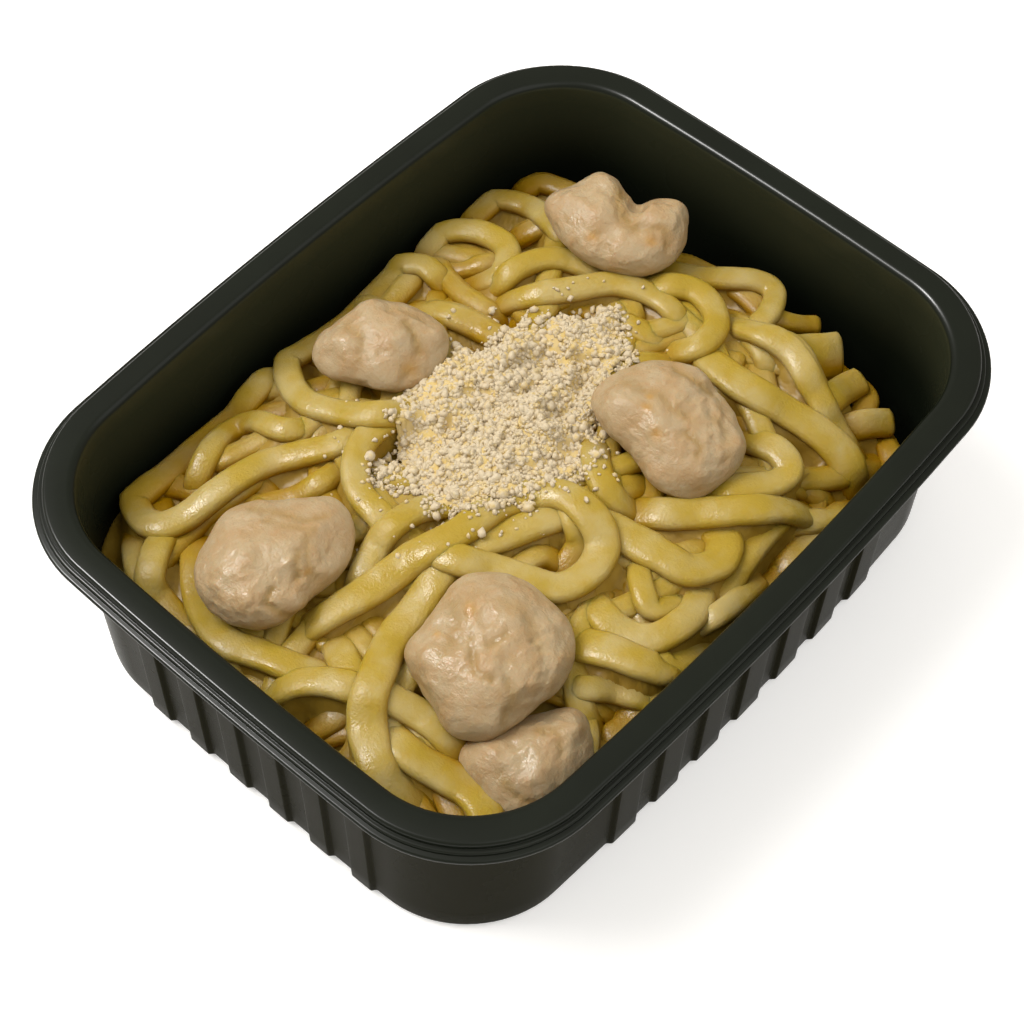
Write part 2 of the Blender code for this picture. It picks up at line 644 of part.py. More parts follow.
def make_noodle_heap():
    """The noodle heap: core and noodles fused, with a hollow for each chunk of chicken."""
    heap = make_core()
    routes = list(NOODLES.values()) + filler_noodles()
    noodles = [noodle for noodle in (make_noodle(*route) for route in routes) if noodle]
    join_group(heap, noodles, "UNION", "EXACT")
    hollows = [make_chunk(name, GAP, False) for name in CHUNKS]
    join_group(heap, hollows, "DIFFERENCE", "MANIFOLD")
    keep_main_body(heap)
    return heap


def make_cheese():
    """The cheese: a low heap with bumps the size of its crumbs, laid on the core."""
    draw = np.random.default_rng(CHEESE_SEED)
    angles = np.arange(CHEESE_SPOKES) * 2 * math.pi / CHEESE_SPOKES
    direction = np.column_stack((np.cos(angles), np.sin(angles)))
    edge = around(CHEESE_REACH, angles)[:, None] * direction
    top_rings = []
    for step in range(CHEESE_RINGS):
        share = 1.0 - step / CHEESE_RINGS
        jitter = 1.0 + draw.uniform(-0.03, 0.0, (CHEESE_SPOKES, 1))
        plan = np.array(CHEESE_CENTRE) + edge * share * jitter
        rise = CHEESE_EDGE_LIFT + CHEESE_RISE * (1.0 - share ** 2)
        bump = draw.uniform(-CHEESE_BUMP, CHEESE_BUMP, CHEESE_SPOKES) * (0.3 + 0.7 * share)
        top_rings.append(with_height(plan, heap_height(plan[:, 0], plan[:, 1]) + rise + bump))
    under_rings = []
    for share in (0.35, 0.7, 0.97):
        plan = np.array(CHEESE_CENTRE) + edge * share
        under_rings.append(with_height(plan, core_height(plan[:, 0], plan[:, 1]) + 2 * GAP))
    middle = float(heap_height(*CHEESE_CENTRE))
    under_pole = (*CHEESE_CENTRE, middle - CORE_DEPTH + 2 * GAP)
    top_pole = (*CHEESE_CENTRE, middle + CHEESE_EDGE_LIFT + CHEESE_RISE)
    cheese = make_object("cheese", *loft(under_rings + top_rings, under_pole, top_pole))
    hollows = [make_chunk(name, GAP, False) for name in ("chicken_left", "chicken_right")]
    join_group(cheese, hollows, "DIFFERENCE", "EXACT")
    keep_main_body(cheese)
    return cheese


def make_chicken(name):
    """A chunk as its own object, dented where the larger chunk beside it presses."""
    chunk = make_chunk(name)
    if name == "chicken_near_low":
        press = make_chunk("chicken_near", GAP, False)
        join_group(chunk, [press], "DIFFERENCE", "EXACT")
        keep_main_body(chunk)
    return chunk


def main():
    """Build the tray and its food."""
    for thing in list(bpy.data.objects):
        bpy.data.objects.remove(thing)
    dish = bpy.data.objects.new("fettuccine_alfredo", None)
    bpy.context.scene.collection.objects.link(dish)
    finish_object(make_tray(), TRAY_FINISH, dish, 35.0)
    finish_object(make_noodle_heap(), NOODLE_FINISH, dish, 50.0)
    for name in CHUNKS:
        finish_object(make_chicken(name), CHICKEN_FINISH, dish, 60.0)
    finish_object(make_cheese(), CHEESE_FINISH, dish, 60.0)


main()
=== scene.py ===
"""Looks of a fettuccine alfredo ready meal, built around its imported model.

Every size is in millimetres until a mesh is made, and every piece lies where the model's
solid for it lies: the tray, the noodle heap, the chicken chunks and the grated cheese.
"""
import logging
import math
from dataclasses import dataclass, field
from enum import Enum
from itertools import combinations
from typing import Sequence

import bpy
import numpy as np
from mathutils import Matrix, Vector


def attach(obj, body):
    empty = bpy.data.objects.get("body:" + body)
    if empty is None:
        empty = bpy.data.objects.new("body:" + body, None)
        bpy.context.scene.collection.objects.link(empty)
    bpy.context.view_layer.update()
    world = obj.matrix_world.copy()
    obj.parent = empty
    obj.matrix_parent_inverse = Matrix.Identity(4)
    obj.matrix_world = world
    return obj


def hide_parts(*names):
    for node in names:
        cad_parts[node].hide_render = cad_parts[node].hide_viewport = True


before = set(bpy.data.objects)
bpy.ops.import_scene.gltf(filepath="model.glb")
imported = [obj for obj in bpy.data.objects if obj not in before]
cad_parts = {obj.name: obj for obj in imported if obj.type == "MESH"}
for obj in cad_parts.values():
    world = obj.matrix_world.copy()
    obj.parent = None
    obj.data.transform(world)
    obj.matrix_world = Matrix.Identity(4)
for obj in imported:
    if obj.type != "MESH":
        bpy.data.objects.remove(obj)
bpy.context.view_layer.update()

MM = 0.001
LOG = logging.getLogger("fettuccine")
Array = np.ndarray
Colour = tuple[float, float, float]
# Towards the key light: noodles and chunks get painted shade on the sides turned from it.
TOWARDS_LIGHT = np.array((-0.234, 0.26, 0.937))
NEIGHBOURS = ((1, 0), (-1, 0), (0, 1), (0, -1))


# Numbers and curves


def smooth_step(value: Array) -> Array:
    """Rise from 0 to 1 with level ends: 3x squared less 2x cubed."""
    share = np.clip(value, 0.0, 1.0)
    return share * share * (3.0 - 2.0 * share)


def lattice_noise(points: Array, size: float, seed: int) -> Array:
    """Smooth noise from -1 to 1: random values on a cubic lattice, blended between corners.

    Args:
        points: positions in mm, one to a row.
        size: the lattice's pitch in mm.
        seed: picks another set of random values.

    Returns:
        One value for each point.
    """
    cell = points / size
    base = np.floor(cell).astype(np.int64)
    fade = smooth_step(cell - base)
    total = np.zeros(len(points))
    for corner in np.ndindex(2, 2, 2):
        place = base + np.array(corner)
        mixed = place @ np.array((73856093, 19349663, 83492791)) + seed * 26544357
        mixed = ((mixed ^ (mixed >> 13)) * 1274126177) & 0xFFFFFFFF
        mixed = (mixed ^ (mixed >> 15)) & 0xFFFF
        weight = np.prod(np.where(np.array(corner) == 1, fade, 1.0 - fade), axis=1)
        total += weight * (mixed / 32767.5 - 1.0)
    return total


def layered_noise(points: Array, size: float, seed: int, octaves: int) -> Array:
    """Sum of lattice noises, each half as large and half as wide as the one before.

    Args:
        points: positions in mm, one to a row.
        size: pitch of the widest noise in mm.
        seed: picks the random values.
        octaves: how many noises are summed.

    Returns:
        One value for each point.
    """
    return sum(
        lattice_noise(points, size / 2 ** level, seed + level) / 2 ** level
        for level in range(octaves))


def plan_noise(plan: Array, size: float, seed: int, octaves: int = 1) -> Array:
    """Layered noise over plan points."""
    return layered_noise(np.column_stack((plan, np.zeros(len(plan)))), size, seed, octaves)


def curve(points: Sequence[Array], part: Array) -> Array:
    """Smooth (Catmull-Rom) curve from the second of four points to the third.

    With the points a, b, c and d, and p the part of the way, it is half of
    2b + (c - a) p + (2a - 5b + 4c - d) p squared + (3b - a - 3c + d) p cubed.

    Args:
        points: the four points, or arrays of them.
        part: how far along the curve, 0 to 1.

    Returns:
        The point, or points, on the curve.
    """
    one, two, three, four = points
    return 0.5 * (
        2 * two + (three - one) * part
        + (2 * one - 5 * two + 4 * three - four) * part ** 2
        + (3 * two - one - 3 * three + four) * part ** 3)


def around(radii: Sequence[float], angle: Array) -> Array:
    """Radius in a direction, read by a smooth curve from radii at equal steps of a circle.

    Args:
        radii: radii at equal steps of the circle, the first at angle 0.
        angle: directions in radians.

    Returns:
        A radius for each direction.
    """
    count = len(radii)
    position = np.mod(np.asarray(angle) / (2 * math.pi) * count, count)
    before = np.floor(position).astype(int)
    values = np.asarray(radii)
    return curve([values[(before + step) % count] for step in (-1, 0, 1, 2)], position - before)


def smooth_route(points: Sequence[Sequence[float]], pitch: float) -> Array:
    """Carry a smooth curve through a route's own points.

    Args:
        points: the route's points, in plan or in space.
        pitch: distance between two stations.

    Returns:
        Even stations along the curve.
    """
    control = np.array(points, dtype=float)
    control = np.vstack((2 * control[0] - control[1], control, 2 * control[-1] - control[-2]))
    part = np.linspace(0.0, 1.0, 24, endpoint=False)[:, None]
    spans = [curve(control[index - 1:index + 3], part) for index in range(1, len(control) - 2)]
    fine = np.vstack(spans + [control[-2][None]])
    length = np.concatenate(((0.0,), np.cumsum(np.linalg.norm(np.diff(fine, axis=0), axis=1))))
    even = np.linspace(0.0, length[-1], max(4, round(length[-1] / pitch) + 1))
    return np.column_stack([np.interp(even, length, column) for column in fine.T])


def unit(vectors: Array) -> Array:
    """Vectors brought to a length of 1."""
    return vectors / np.maximum(np.linalg.norm(vectors, axis=-1, keepdims=True), 1e-9)


def to_the_left(route: Array) -> Array:
    """Plan directions at right angles to a route, on its left."""
    along = unit(np.gradient(route[:, :2], axis=0))
    return np.column_stack((-along[:, 1], along[:, 0]))


def blurred(surface: Array, own: float, times: int) -> Array:
    """Heights of a grid, each blended some times with its four neighbours.

    Args:
        surface: the grid's heights.
        own: weight of a height against 1 for each neighbour.
        times: how often the blend is made.

    Returns:
        The softened heights.
    """
    for _ in range(times):
        beside = sum(np.roll(surface, shift, axis=(0, 1)) for shift in NEIGHBOURS)
        surface = (own * surface + beside) / (own + len(NEIGHBOURS))
    return surface


def softened(values: Array, reach: float, pitch: float) -> Array:
    """Values along a line, each replaced by a bell-weighted mean of its neighbours.

    Args:
        values: the values.
        reach: the bell's standard width.
        pitch: distance between two values.

    Returns:
        As many values, smoother.
    """
    half = max(1, int(3 * reach / pitch))
    bell = np.exp(-0.5 * (np.arange(-half, half + 1) * pitch / reach) ** 2)
    padded = np.pad(values, half, mode="edge")
    return np.convolve(padded, bell / bell.sum(), mode="valid")


def highest_near(values: Array, reach: float, pitch: float) -> Array:
    """Values along a line, each replaced by the largest within a reach of it.

    Args:
        values: the values.
        reach: how far to look each way.
        pitch: distance between two values.

    Returns:
        As many values.
    """
    half = max(1, int(reach / pitch))
    padded = np.pad(values, half, mode="edge")
    return np.max([padded[step:step + len(values)] for step in range(2 * half + 1)], axis=0)


# Meshes


def grid_quads(rows: int, columns: int, closed: bool) -> Array:
    """Four vertex numbers for each cell of a grid whose rows may close on themselves.

    Args:
        rows: rows of points.
        columns: points in a row.
        closed: whether a row's last point joins its first.

    Returns:
        One row for each cell.
    """
    row, column = np.meshgrid(
        np.arange(rows - 1), np.arange(columns if closed else columns - 1), indexing="ij")
    following = (column + 1) % columns
    low = row * columns
    high = low + columns
    return np.stack((low + column, low + following, high + following, high + column), -1).reshape(-1, 4)


def fan(ring_start: int, count: int, pole: int, flipped: bool) -> Array:
    """Triangles from a closed ring of vertices to one pole.

    Args:
        ring_start: number of the ring's first vertex.
        count: vertices of the ring.
        pole: the pole's number.
        flipped: whether the triangles run the other way round.

    Returns:
        One row for each triangle.
    """
    step = np.arange(count)
    one, two = ring_start + step, ring_start + (step + 1) % count
    return np.stack((two, one, np.full(count, pole)) if flipped else (one, two, np.full(count, pole)), -1)


def capped_tube(rows: int, count: int, flipped: bool) -> tuple[Array, Array, Array]:
    """Faces of a closed grid and of the fans that close its two ends.

    Args:
        rows: rings of the grid.
        count: points of a ring.
        flipped: whether the faces run the other way round.

    Returns:
        The grid's quads, and the triangles to the two poles that follow the grid's points.
    """
    quads = grid_quads(rows, count, True)
    return (
        quads[:, ::-1] if flipped else quads,
        fan(0, count, rows * count, not flipped),
        fan((rows - 1) * count, count, rows * count + 1, flipped))


@dataclass
class Mould:
    """Gathers vertices, faces and point values, and pours them into one mesh object."""

    vertices: list[Array] = field(default_factory=list)
    faces: list[Array] = field(default_factory=list)
    values: dict[str, list[Array]] = field(default_factory=dict)
    count: int = 0

    def add(self, vertices: Array, faces: Sequence[Array], **values: Array) -> None:
        """Add one shell, its faces numbered from 0, with any values of its points.

        Args:
            vertices: its points in mm.
            faces: groups of vertex numbers, from 0.
            values: for each name, a value of every point.
        """
        self.vertices.append(np.asarray(vertices, dtype=float))
        self.faces.extend(np.asarray(group, dtype=np.int64) + self.count for group in faces)
        for name, row in values.items():
            self.values.setdefault(name, []).append(np.asarray(row, dtype=float))
        self.count += len(vertices)

    def pour(self, name: str, material: bpy.types.Material) -> bpy.types.Object:
        """Make the mesh object, in metres and at the origin.

        Args:
            name: the object's name.
            material: its one finish.

        Returns:
            The object, smoothly shaded, with the gathered values as point attributes.
        """
        mesh = bpy.data.meshes.new(name)
        points = np.vstack(self.vertices) * MM
        mesh.vertices.add(len(points))
        mesh.vertices.foreach_set("co", points.astype(np.float32).ravel())
        corners = np.concatenate([group.ravel() for group in self.faces])
        sizes = np.concatenate([np.full(len(group), group.shape[1]) for group in self.faces])
        mesh.loops.add(len(corners))
        mesh.loops.foreach_set("vertex_index", corners.astype(np.int32))
        mesh.polygons.add(len(sizes))
        starts = np.concatenate(((0,), np.cumsum(sizes)[:-1]))
        mesh.polygons.foreach_set("loop_start", starts.astype(np.int32))
        mesh.polygons.foreach_set("loop_total", sizes.astype(np.int32))
        mesh.update(calc_edges=True)
        for key, rows in self.values.items():
            layer = mesh.attributes.new(key, "FLOAT", "POINT")
            layer.data.foreach_set("value", np.concatenate(rows).astype(np.float32))
        mesh.polygons.foreach_set("use_smooth", np.full(len(sizes), True))
        mesh.materials.append(material)
        thing = bpy.data.objects.new(name, mesh)
        bpy.context.scene.collection.objects.link(thing)
        return thing


def grid_normals(points: Array, closed: bool) -> Array:
    """Unit normals of a grid of points: the cross product of its two running directions.

    Args:
        points: the grid, by row and column.
        closed: whether its rows close.

    Returns:
        A unit vector for each point.
    """
    along = np.gradient(points, axis=0)
    if closed:
        across = (np.roll(points, -1, axis=1) - np.roll(points, 1, axis=1)) / 2
    else:
        across = np.gradient(points, axis=1)
    return unit(np.cross(across, along))


# Materials


class Signal:
    """A node's output, which Python's operators combine by adding Math nodes."""

    def __init__(self, recipe: "Recipe", socket: bpy.types.NodeSocket) -> None:
        """Wrap one output socket of a recipe's node."""
        self.recipe = recipe
        self.socket = socket

    def maths(self, operation: str, *others: "Signal | float") -> "Signal":
        """Return this value and others joined by one Math node."""
        return self.recipe.node("ShaderNodeMath", {"operation": operation}, self, *others)

    def __add__(self, other: "Signal | float") -> "Signal":
        """Return the sum."""
        return self.maths("ADD", other)

    __radd__ = __add__

    def __mul__(self, other: "Signal | float") -> "Signal":
        """Return the product."""
        return self.maths("MULTIPLY", other)

    __rmul__ = __mul__

    def __sub__(self, other: "Signal | float") -> "Signal":
        """Return this value less the other."""
        return self.maths("SUBTRACT", other)

    def between(self, low: float, high: float) -> "Signal":
        """Return a smooth rise from 0 at the low value to 1 at the high one."""
        return self.recipe.node(
            "ShaderNodeMapRange", {"interpolation_type": "SMOOTHSTEP"}, self, low, high, 0.0, 1.0)


class Recipe:
    """A material in the making: one Principled shader and the nodes that feed it."""

    def __init__(self, name: str) -> None:
        """Start an empty material.

        Args:
            name: what the material is called.
        """
        self.material = bpy.data.materials.new(name)
        self.material.use_nodes = True
        self.tree = self.material.node_tree
        self.shader = self.tree.nodes["Principled BSDF"]
        place = self.tree.nodes.new("ShaderNodeTexCoord")
        self.place = Signal(self, place.outputs["Object"])

    def node(self, kind: str, settings: dict[str, object], *inputs: object, output: int = 0) -> Signal:
        """Add a node of any kind.

        Args:
            kind: the node's type.
            settings: its options, set before its sockets are filled.
            inputs: a value or a signal for each input socket in order, None to skip one.
            output: which output to hand back.

        Returns:
            The chosen output as a signal.
        """
        made = self.tree.nodes.new(kind)
        for key, value in settings.items():
            setattr(made, key, value)
        sockets = [socket for socket in made.inputs if socket.enabled]
        for socket, value in zip(sockets, inputs):
            self.fill(socket, value)
        return Signal(self, [socket for socket in made.outputs if socket.enabled][output])

    def fill(self, socket: bpy.types.NodeSocket, value: object) -> None:
        """Link a signal to a socket, or set the socket's own value.

        Args:
            socket: an input.
            value: a signal, a plain value, or None to leave it.
        """
        if isinstance(value, Signal):
            self.tree.links.new(value.socket, socket)
        elif value is not None:
            socket.default_value = value

    def noise(self, size: float, detail: float = 2.0, roughness: float = 0.5,
              place: "Signal | None" = None) -> Signal:
        """Noise whose lumps are about this many mm wide, from 0 to 1.

        Args:
            size: width of a lump in mm.
            detail: how many finer noises are added.
            roughness: how strong those are.
            place: where to read it, or the object's own place.

        Returns:
            The noise.
        """
        return self.node(
            "ShaderNodeTexNoise", {"noise_dimensions": "3D"},
            place or self.place, 1.0 / (size * MM), detail, roughness)

    def value(self, name: str) -> Signal:
        """A value that the piece's mesh carries at its points."""
        return self.node("ShaderNodeAttribute", {"attribute_name": name}, output=2)

    def mix(self, factor: "Signal | float", one: object, two: object) -> Signal:
        """Blend from one colour to another.

        Args:
            factor: 0 for the first colour and 1 for the second.
            one: a colour or a signal.
            two: a colour or a signal.

        Returns:
            The blended colour.
        """
        made = self.tree.nodes.new("ShaderNodeMix")
        made.data_type = "RGBA"
        self.fill(made.inputs["Factor"], factor)
        self.fill(made.inputs[6], one if isinstance(one, Signal) else (*one, 1.0))
        self.fill(made.inputs[7], two if isinstance(two, Signal) else (*two, 1.0))
        return Signal(self, made.outputs[2])

    def bump(self, height: Signal, depth: float, under: "Signal | None" = None) -> Signal:
        """Normal of a relief whose full height is this many mm, laid over another if given."""
        return self.node("ShaderNodeBump", {}, 1.0, depth * MM, None, height, under)

    def dress(self, **sockets: object) -> bpy.types.Material:
        """Fill the shader's sockets, named with _ for a space, and return the material.

        Args:
            sockets: a value or a signal for each of the shader's inputs.

        Returns:
            The material.
        """
        for name, value in sockets.items():
            self.fill(self.shader.inputs[name.replace("_", " ")], value)
        return self.material


@dataclass(frozen=True)
class TrayPlastic:
    """Black moulded plastic with a fine grained skin. Sizes and depths are in mm."""

    colour: Colour = (0.0058, 0.0076, 0.0045)
    # inside: a lighter olive copy of the plastic, painted reflection of the food and of the gloss left out
    # by the low specular.
    inside: Colour = (0.0270, 0.0300, 0.0165)
    # outside: a browner copy of the plastic for the outer walls, painted light set to how the floor's light
    # falls on them.
    outside: Colour = (0.0085, 0.0078, 0.0020)
    cloud_gain: float = 1.2
    cloud_size: float = 16.0
    grain_size: float = 0.35
    grain_depth: float = 0.006
    roughness: float = 0.24
    cloud_roughness: float = 0.06
    specular: float = 0.009
    rim_coat: float = 0.34
    coat_roughness: float = 0.28

    def material(self) -> bpy.types.Material:
        """Plastic with painted light: a lighter olive painted reflection on the inner walls, a browner lit
        copy on the outer walls, and a coat on the rim alone.

        Returns:
            The node material.
        """
        recipe = Recipe("black_tray_plastic")
        cloud = recipe.noise(self.cloud_size, 3.0)
        grain = recipe.noise(self.grain_size, 2.0)
        clouded = tuple(self.cloud_gain * channel for channel in self.colour)
        colour = recipe.mix(cloud.between(0.3, 0.7), self.colour, clouded)
        # Painted reflection: the inner walls grow lighter towards the rim.
        colour = recipe.mix(recipe.value("inside"), colour, self.inside)
        # Painted light: the outer walls below the lip take their own lit colour.
        colour = recipe.mix(recipe.value("outside"), colour, self.outside)
        return recipe.dress(
            Base_Color=colour, Roughness=self.roughness + self.cloud_roughness * cloud,
            Specular_IOR_Level=self.specular, Coat_Weight=self.rim_coat * recipe.value("rim"),
            Coat_Roughness=self.coat_roughness, Normal=recipe.bump(grain, self.grain_depth))


@dataclass(frozen=True)
class SaucedPasta:
    """Cooked pasta under a thin wet coat of cream sauce. Sizes and depths are in mm."""

    lit: Colour = (0.372, 0.257, 0.028)
    # The next colour is painted shade, laid low in the heap and on the sides turned from the light.
    painted_shade: Colour = (0.300, 0.155, 0.000)
    cream: Colour = (0.425, 0.328, 0.118)
    cloud_size: float = 9.0
    streak_size: float = 2.6
    patch_size: float = 7.0
    wet_size: float = 0.62
    wet_depth: float = 0.12
    soft_size: float = 2.2
    soft_depth: float = 0.16
    roughness: float = 0.42
    streak_roughness: float = 0.12
    patch_gloss: float = 0.18
    specular: float = 0.19
    subsurface: float = 0.5
    subsurface_reach: float = 1.4
    subsurface_colour: Colour = (1.0, 0.72, 0.25)

    def material(self) -> bpy.types.Material:
        """Pasta that is creamier in patches, with painted shade low in the heap and on the sides turned
        from the light.

        Returns:
            The node material.
        """
        recipe = Recipe("sauced_pasta")
        cloud = recipe.noise(self.cloud_size, 3.0)
        streak = recipe.noise(self.streak_size, 3.0, 0.6)
        depth = recipe.value("depth")
        colour = recipe.mix(cloud.between(0.35, 0.72), self.lit, self.cream)
        # Painted shade: the depth value mixes in the shade colour low in the heap and on the sides turned
        # from the light.
        colour = recipe.mix(depth, colour, self.painted_shade)
        wet = recipe.noise(self.wet_size, 2.0, 0.6)
        soft = recipe.noise(self.soft_size, 2.0)
        patch = recipe.noise(self.patch_size, 2.0).between(0.42, 0.62)
        rough = self.roughness + self.streak_roughness * streak - self.patch_gloss * patch
        normal = recipe.bump(soft, self.soft_depth, recipe.bump(wet, self.wet_depth))
        return recipe.dress(
            Base_Color=colour, Roughness=rough, Normal=normal, Subsurface_Weight=self.subsurface,
            Subsurface_Radius=self.subsurface_colour, Subsurface_Scale=self.subsurface_reach * MM,
            Specular_IOR_Level=self.specular)


@dataclass(frozen=True)
class ChickenMeat:
    """Poached chicken with a thin glaze, faint mottles and a few browned spots.

    Sizes and depths are in mm, and the fibres' turn is in radians.
    """

    pale: Colour = (0.415, 0.312, 0.182)
    pink: Colour = (0.390, 0.265, 0.135)
    spot: Colour = (0.42, 0.235, 0.060)
    # crease: painted shade, laid in the creases and on the sides turned from the light.
    crease: Colour = (0.300, 0.185, 0.055)
    mottle_size: float = 5.5
    patch_size: float = 6.0
    fibre_size: float = 1.5
    fibre_depth: float = 0.16
    fibre_turn: float = 0.6
    fibre_stretch: float = 0.3
    fine_size: float = 1.1
    fine_depth: float = 0.20
    wet_size: float = 0.6
    wet_depth: float = 0.13
    roughness: float = 0.42
    mottle_roughness: float = 0.12
    patch_gloss: float = 0.18
    specular: float = 0.20
    subsurface: float = 0.5
    subsurface_reach: float = 1.8
    subsurface_colour: Colour = (1.0, 0.6, 0.4)

    def material(self) -> bpy.types.Material:
        """Meat with pink mottles and browned spots over a fine fibrous relief, and painted shade in the
        creases and on the sides turned from the light.

        Returns:
            The node material.
        """
        recipe = Recipe("chicken_meat")
        mottle = recipe.noise(self.mottle_size, 3.0, 0.55)
        fine = recipe.noise(self.fine_size, 3.0, 0.6)
        colour = recipe.mix(mottle.between(0.36, 0.66), self.pale, self.pink)
        # Painted shade: the crease value covers the creases and the sides turned from the light.
        colour = recipe.mix(recipe.value("crease") * 0.75, colour, self.crease)
        colour = recipe.mix(recipe.value("spot") * 0.8, colour, self.spot)
        wet = recipe.noise(self.wet_size, 2.0, 0.6)
        turn = (0.0, 0.0, self.fibre_turn)
        stretch = (1.0, self.fibre_stretch, 1.0)
        grain = recipe.node("ShaderNodeMapping", {}, recipe.place, None, turn, stretch)
        fibre = recipe.noise(self.fibre_size, 3.0, 0.6, grain)
        patch = recipe.noise(self.patch_size, 2.0).between(0.40, 0.62)
        rough = self.roughness + self.mottle_roughness * mottle - self.patch_gloss * patch
        normal = recipe.bump(fine, self.fine_depth, recipe.bump(wet, self.wet_depth))
        return recipe.dress(
            Base_Color=colour, Roughness=rough, Normal=recipe.bump(fibre, self.fibre_depth, normal),
            Subsurface_Weight=self.subsurface, Subsurface_Radius=self.subsurface_colour,
            Subsurface_Scale=self.subsurface_reach * MM, Specular_IOR_Level=self.specular)


@dataclass(frozen=True)
class GratedCheese:
    """Fine dry crumbs of hard cheese. Sizes and depths are in mm."""

    pale: Colour = (0.580, 0.488, 0.340)
    # The next colour makes random warmer patches, and painted shade of the gaps on the body under the
    # crumbs.
    warm_and_gap_shade: Colour = (0.590, 0.440, 0.170)
    tint_size: float = 2.2
    grain_size: float = 0.4
    grain_depth: float = 0.06
    roughness: float = 0.62
    grain_roughness: float = 0.2
    specular: float = 0.10
    subsurface: float = 0.3
    subsurface_reach: float = 0.3
    subsurface_colour: Colour = (1.0, 0.95, 0.8)

    def material(self) -> bpy.types.Material:
        """Cheese that is warmer in patches, and warmer and darker under the top crumbs as painted shade in
        the gaps between them.

        Returns:
            The node material.
        """
        recipe = Recipe("grated_cheese")
        tint = recipe.noise(self.tint_size, 3.0)
        grain = recipe.noise(self.grain_size, 2.0)
        # Painted shade: the body under the crumbs takes the warmer, darker colour of the shaded gaps.
        warmth = tint.between(0.48, 0.78) + recipe.value("under")
        colour = recipe.mix(warmth, self.pale, self.warm_and_gap_shade)
        return recipe.dress(
            Base_Color=colour, Roughness=self.roughness + self.grain_roughness * grain,
            Normal=recipe.bump(grain, self.grain_depth), Subsurface_Weight=self.subsurface,
            Subsurface_Radius=self.subsurface_colour, Subsurface_Scale=self.subsurface_reach * MM,
            Specular_IOR_Level=self.specular)


@dataclass(frozen=True)
class CreamSauceInPaintedShade:
    """Cream sauce pooled low between the noodles, darkened to painted shade for the gaps. Sizes and depths
    are in mm.
    """

    # Both colours are darkened to painted shade for the gaps between noodles.
    colour: Colour = (0.33, 0.210, 0.028)
    dark: Colour = (0.25, 0.145, 0.012)
    cloud_size: float = 6.0
    relief_size: float = 2.5
    relief_depth: float = 0.3
    roughness: float = 0.40
    cloud_roughness: float = 0.2
    specular: float = 0.25

    def material(self) -> bpy.types.Material:
        """Sauce in two close dark tones over a soft relief, both painted shade for the gaps between
        noodles.

        Returns:
            The node material.
        """
        recipe = Recipe("cream_sauce_painted_shade")
        cloud = recipe.noise(self.cloud_size, 3.0)
        colour = recipe.mix(cloud.between(0.3, 0.7), self.dark, self.colour)
        return recipe.dress(
            Base_Color=colour, Roughness=self.roughness + self.cloud_roughness * cloud,
            Normal=recipe.bump(recipe.noise(self.relief_size, 2.0), self.relief_depth),
            Specular_IOR_Level=self.specular)


@dataclass(frozen=True)
class StudioPaper:
    """Plain pale paper that the tray stands on."""

    colour: Colour = (0.93, 0.93, 0.93)
    fibre_shade: float = 0.985
    fibre_size: float = 4.0
    roughness: float = 0.9
    specular: float = 0.1
    light: float = 0.32

    def material(self) -> bpy.types.Material:
        """Faintly mottled paper that gives off a little light, so that it stays white.

        Returns:
            The node material.
        """
        recipe = Recipe("studio_paper")
        fibre = recipe.noise(self.fibre_size, 2.0)
        shaded = tuple(self.fibre_shade * channel for channel in self.colour)
        return recipe.dress(
            Base_Color=recipe.mix(fibre, self.colour, shaded), Roughness=self.roughness,
            Specular_IOR_Level=self.specular, Emission_Color=(1.0, 1.0, 1.0, 1.0),
            Emission_Strength=self.light)


# The tray


class RibRow(Enum):
    """The pressed ribs of a wall: how many, their pitch, width and shift along the wall."""

    LONG = (7, 14.0, 7.0, 1.4)
    SHORT = (6, 12.5, 5.2, 1.4)

    @property
    def pitch(self) -> float:
        """Distance between two ribs' middles."""
        return self.value[1]

    @property
    def width(self) -> float:
        """Width of a rib's face."""
        return self.value[2]

    def middles(self) -> Array:
        """Places of the ribs' middles along the wall."""
        count, pitch, _, shift = self.value
        return (np.arange(count) - (count - 1) / 2) * pitch + shift


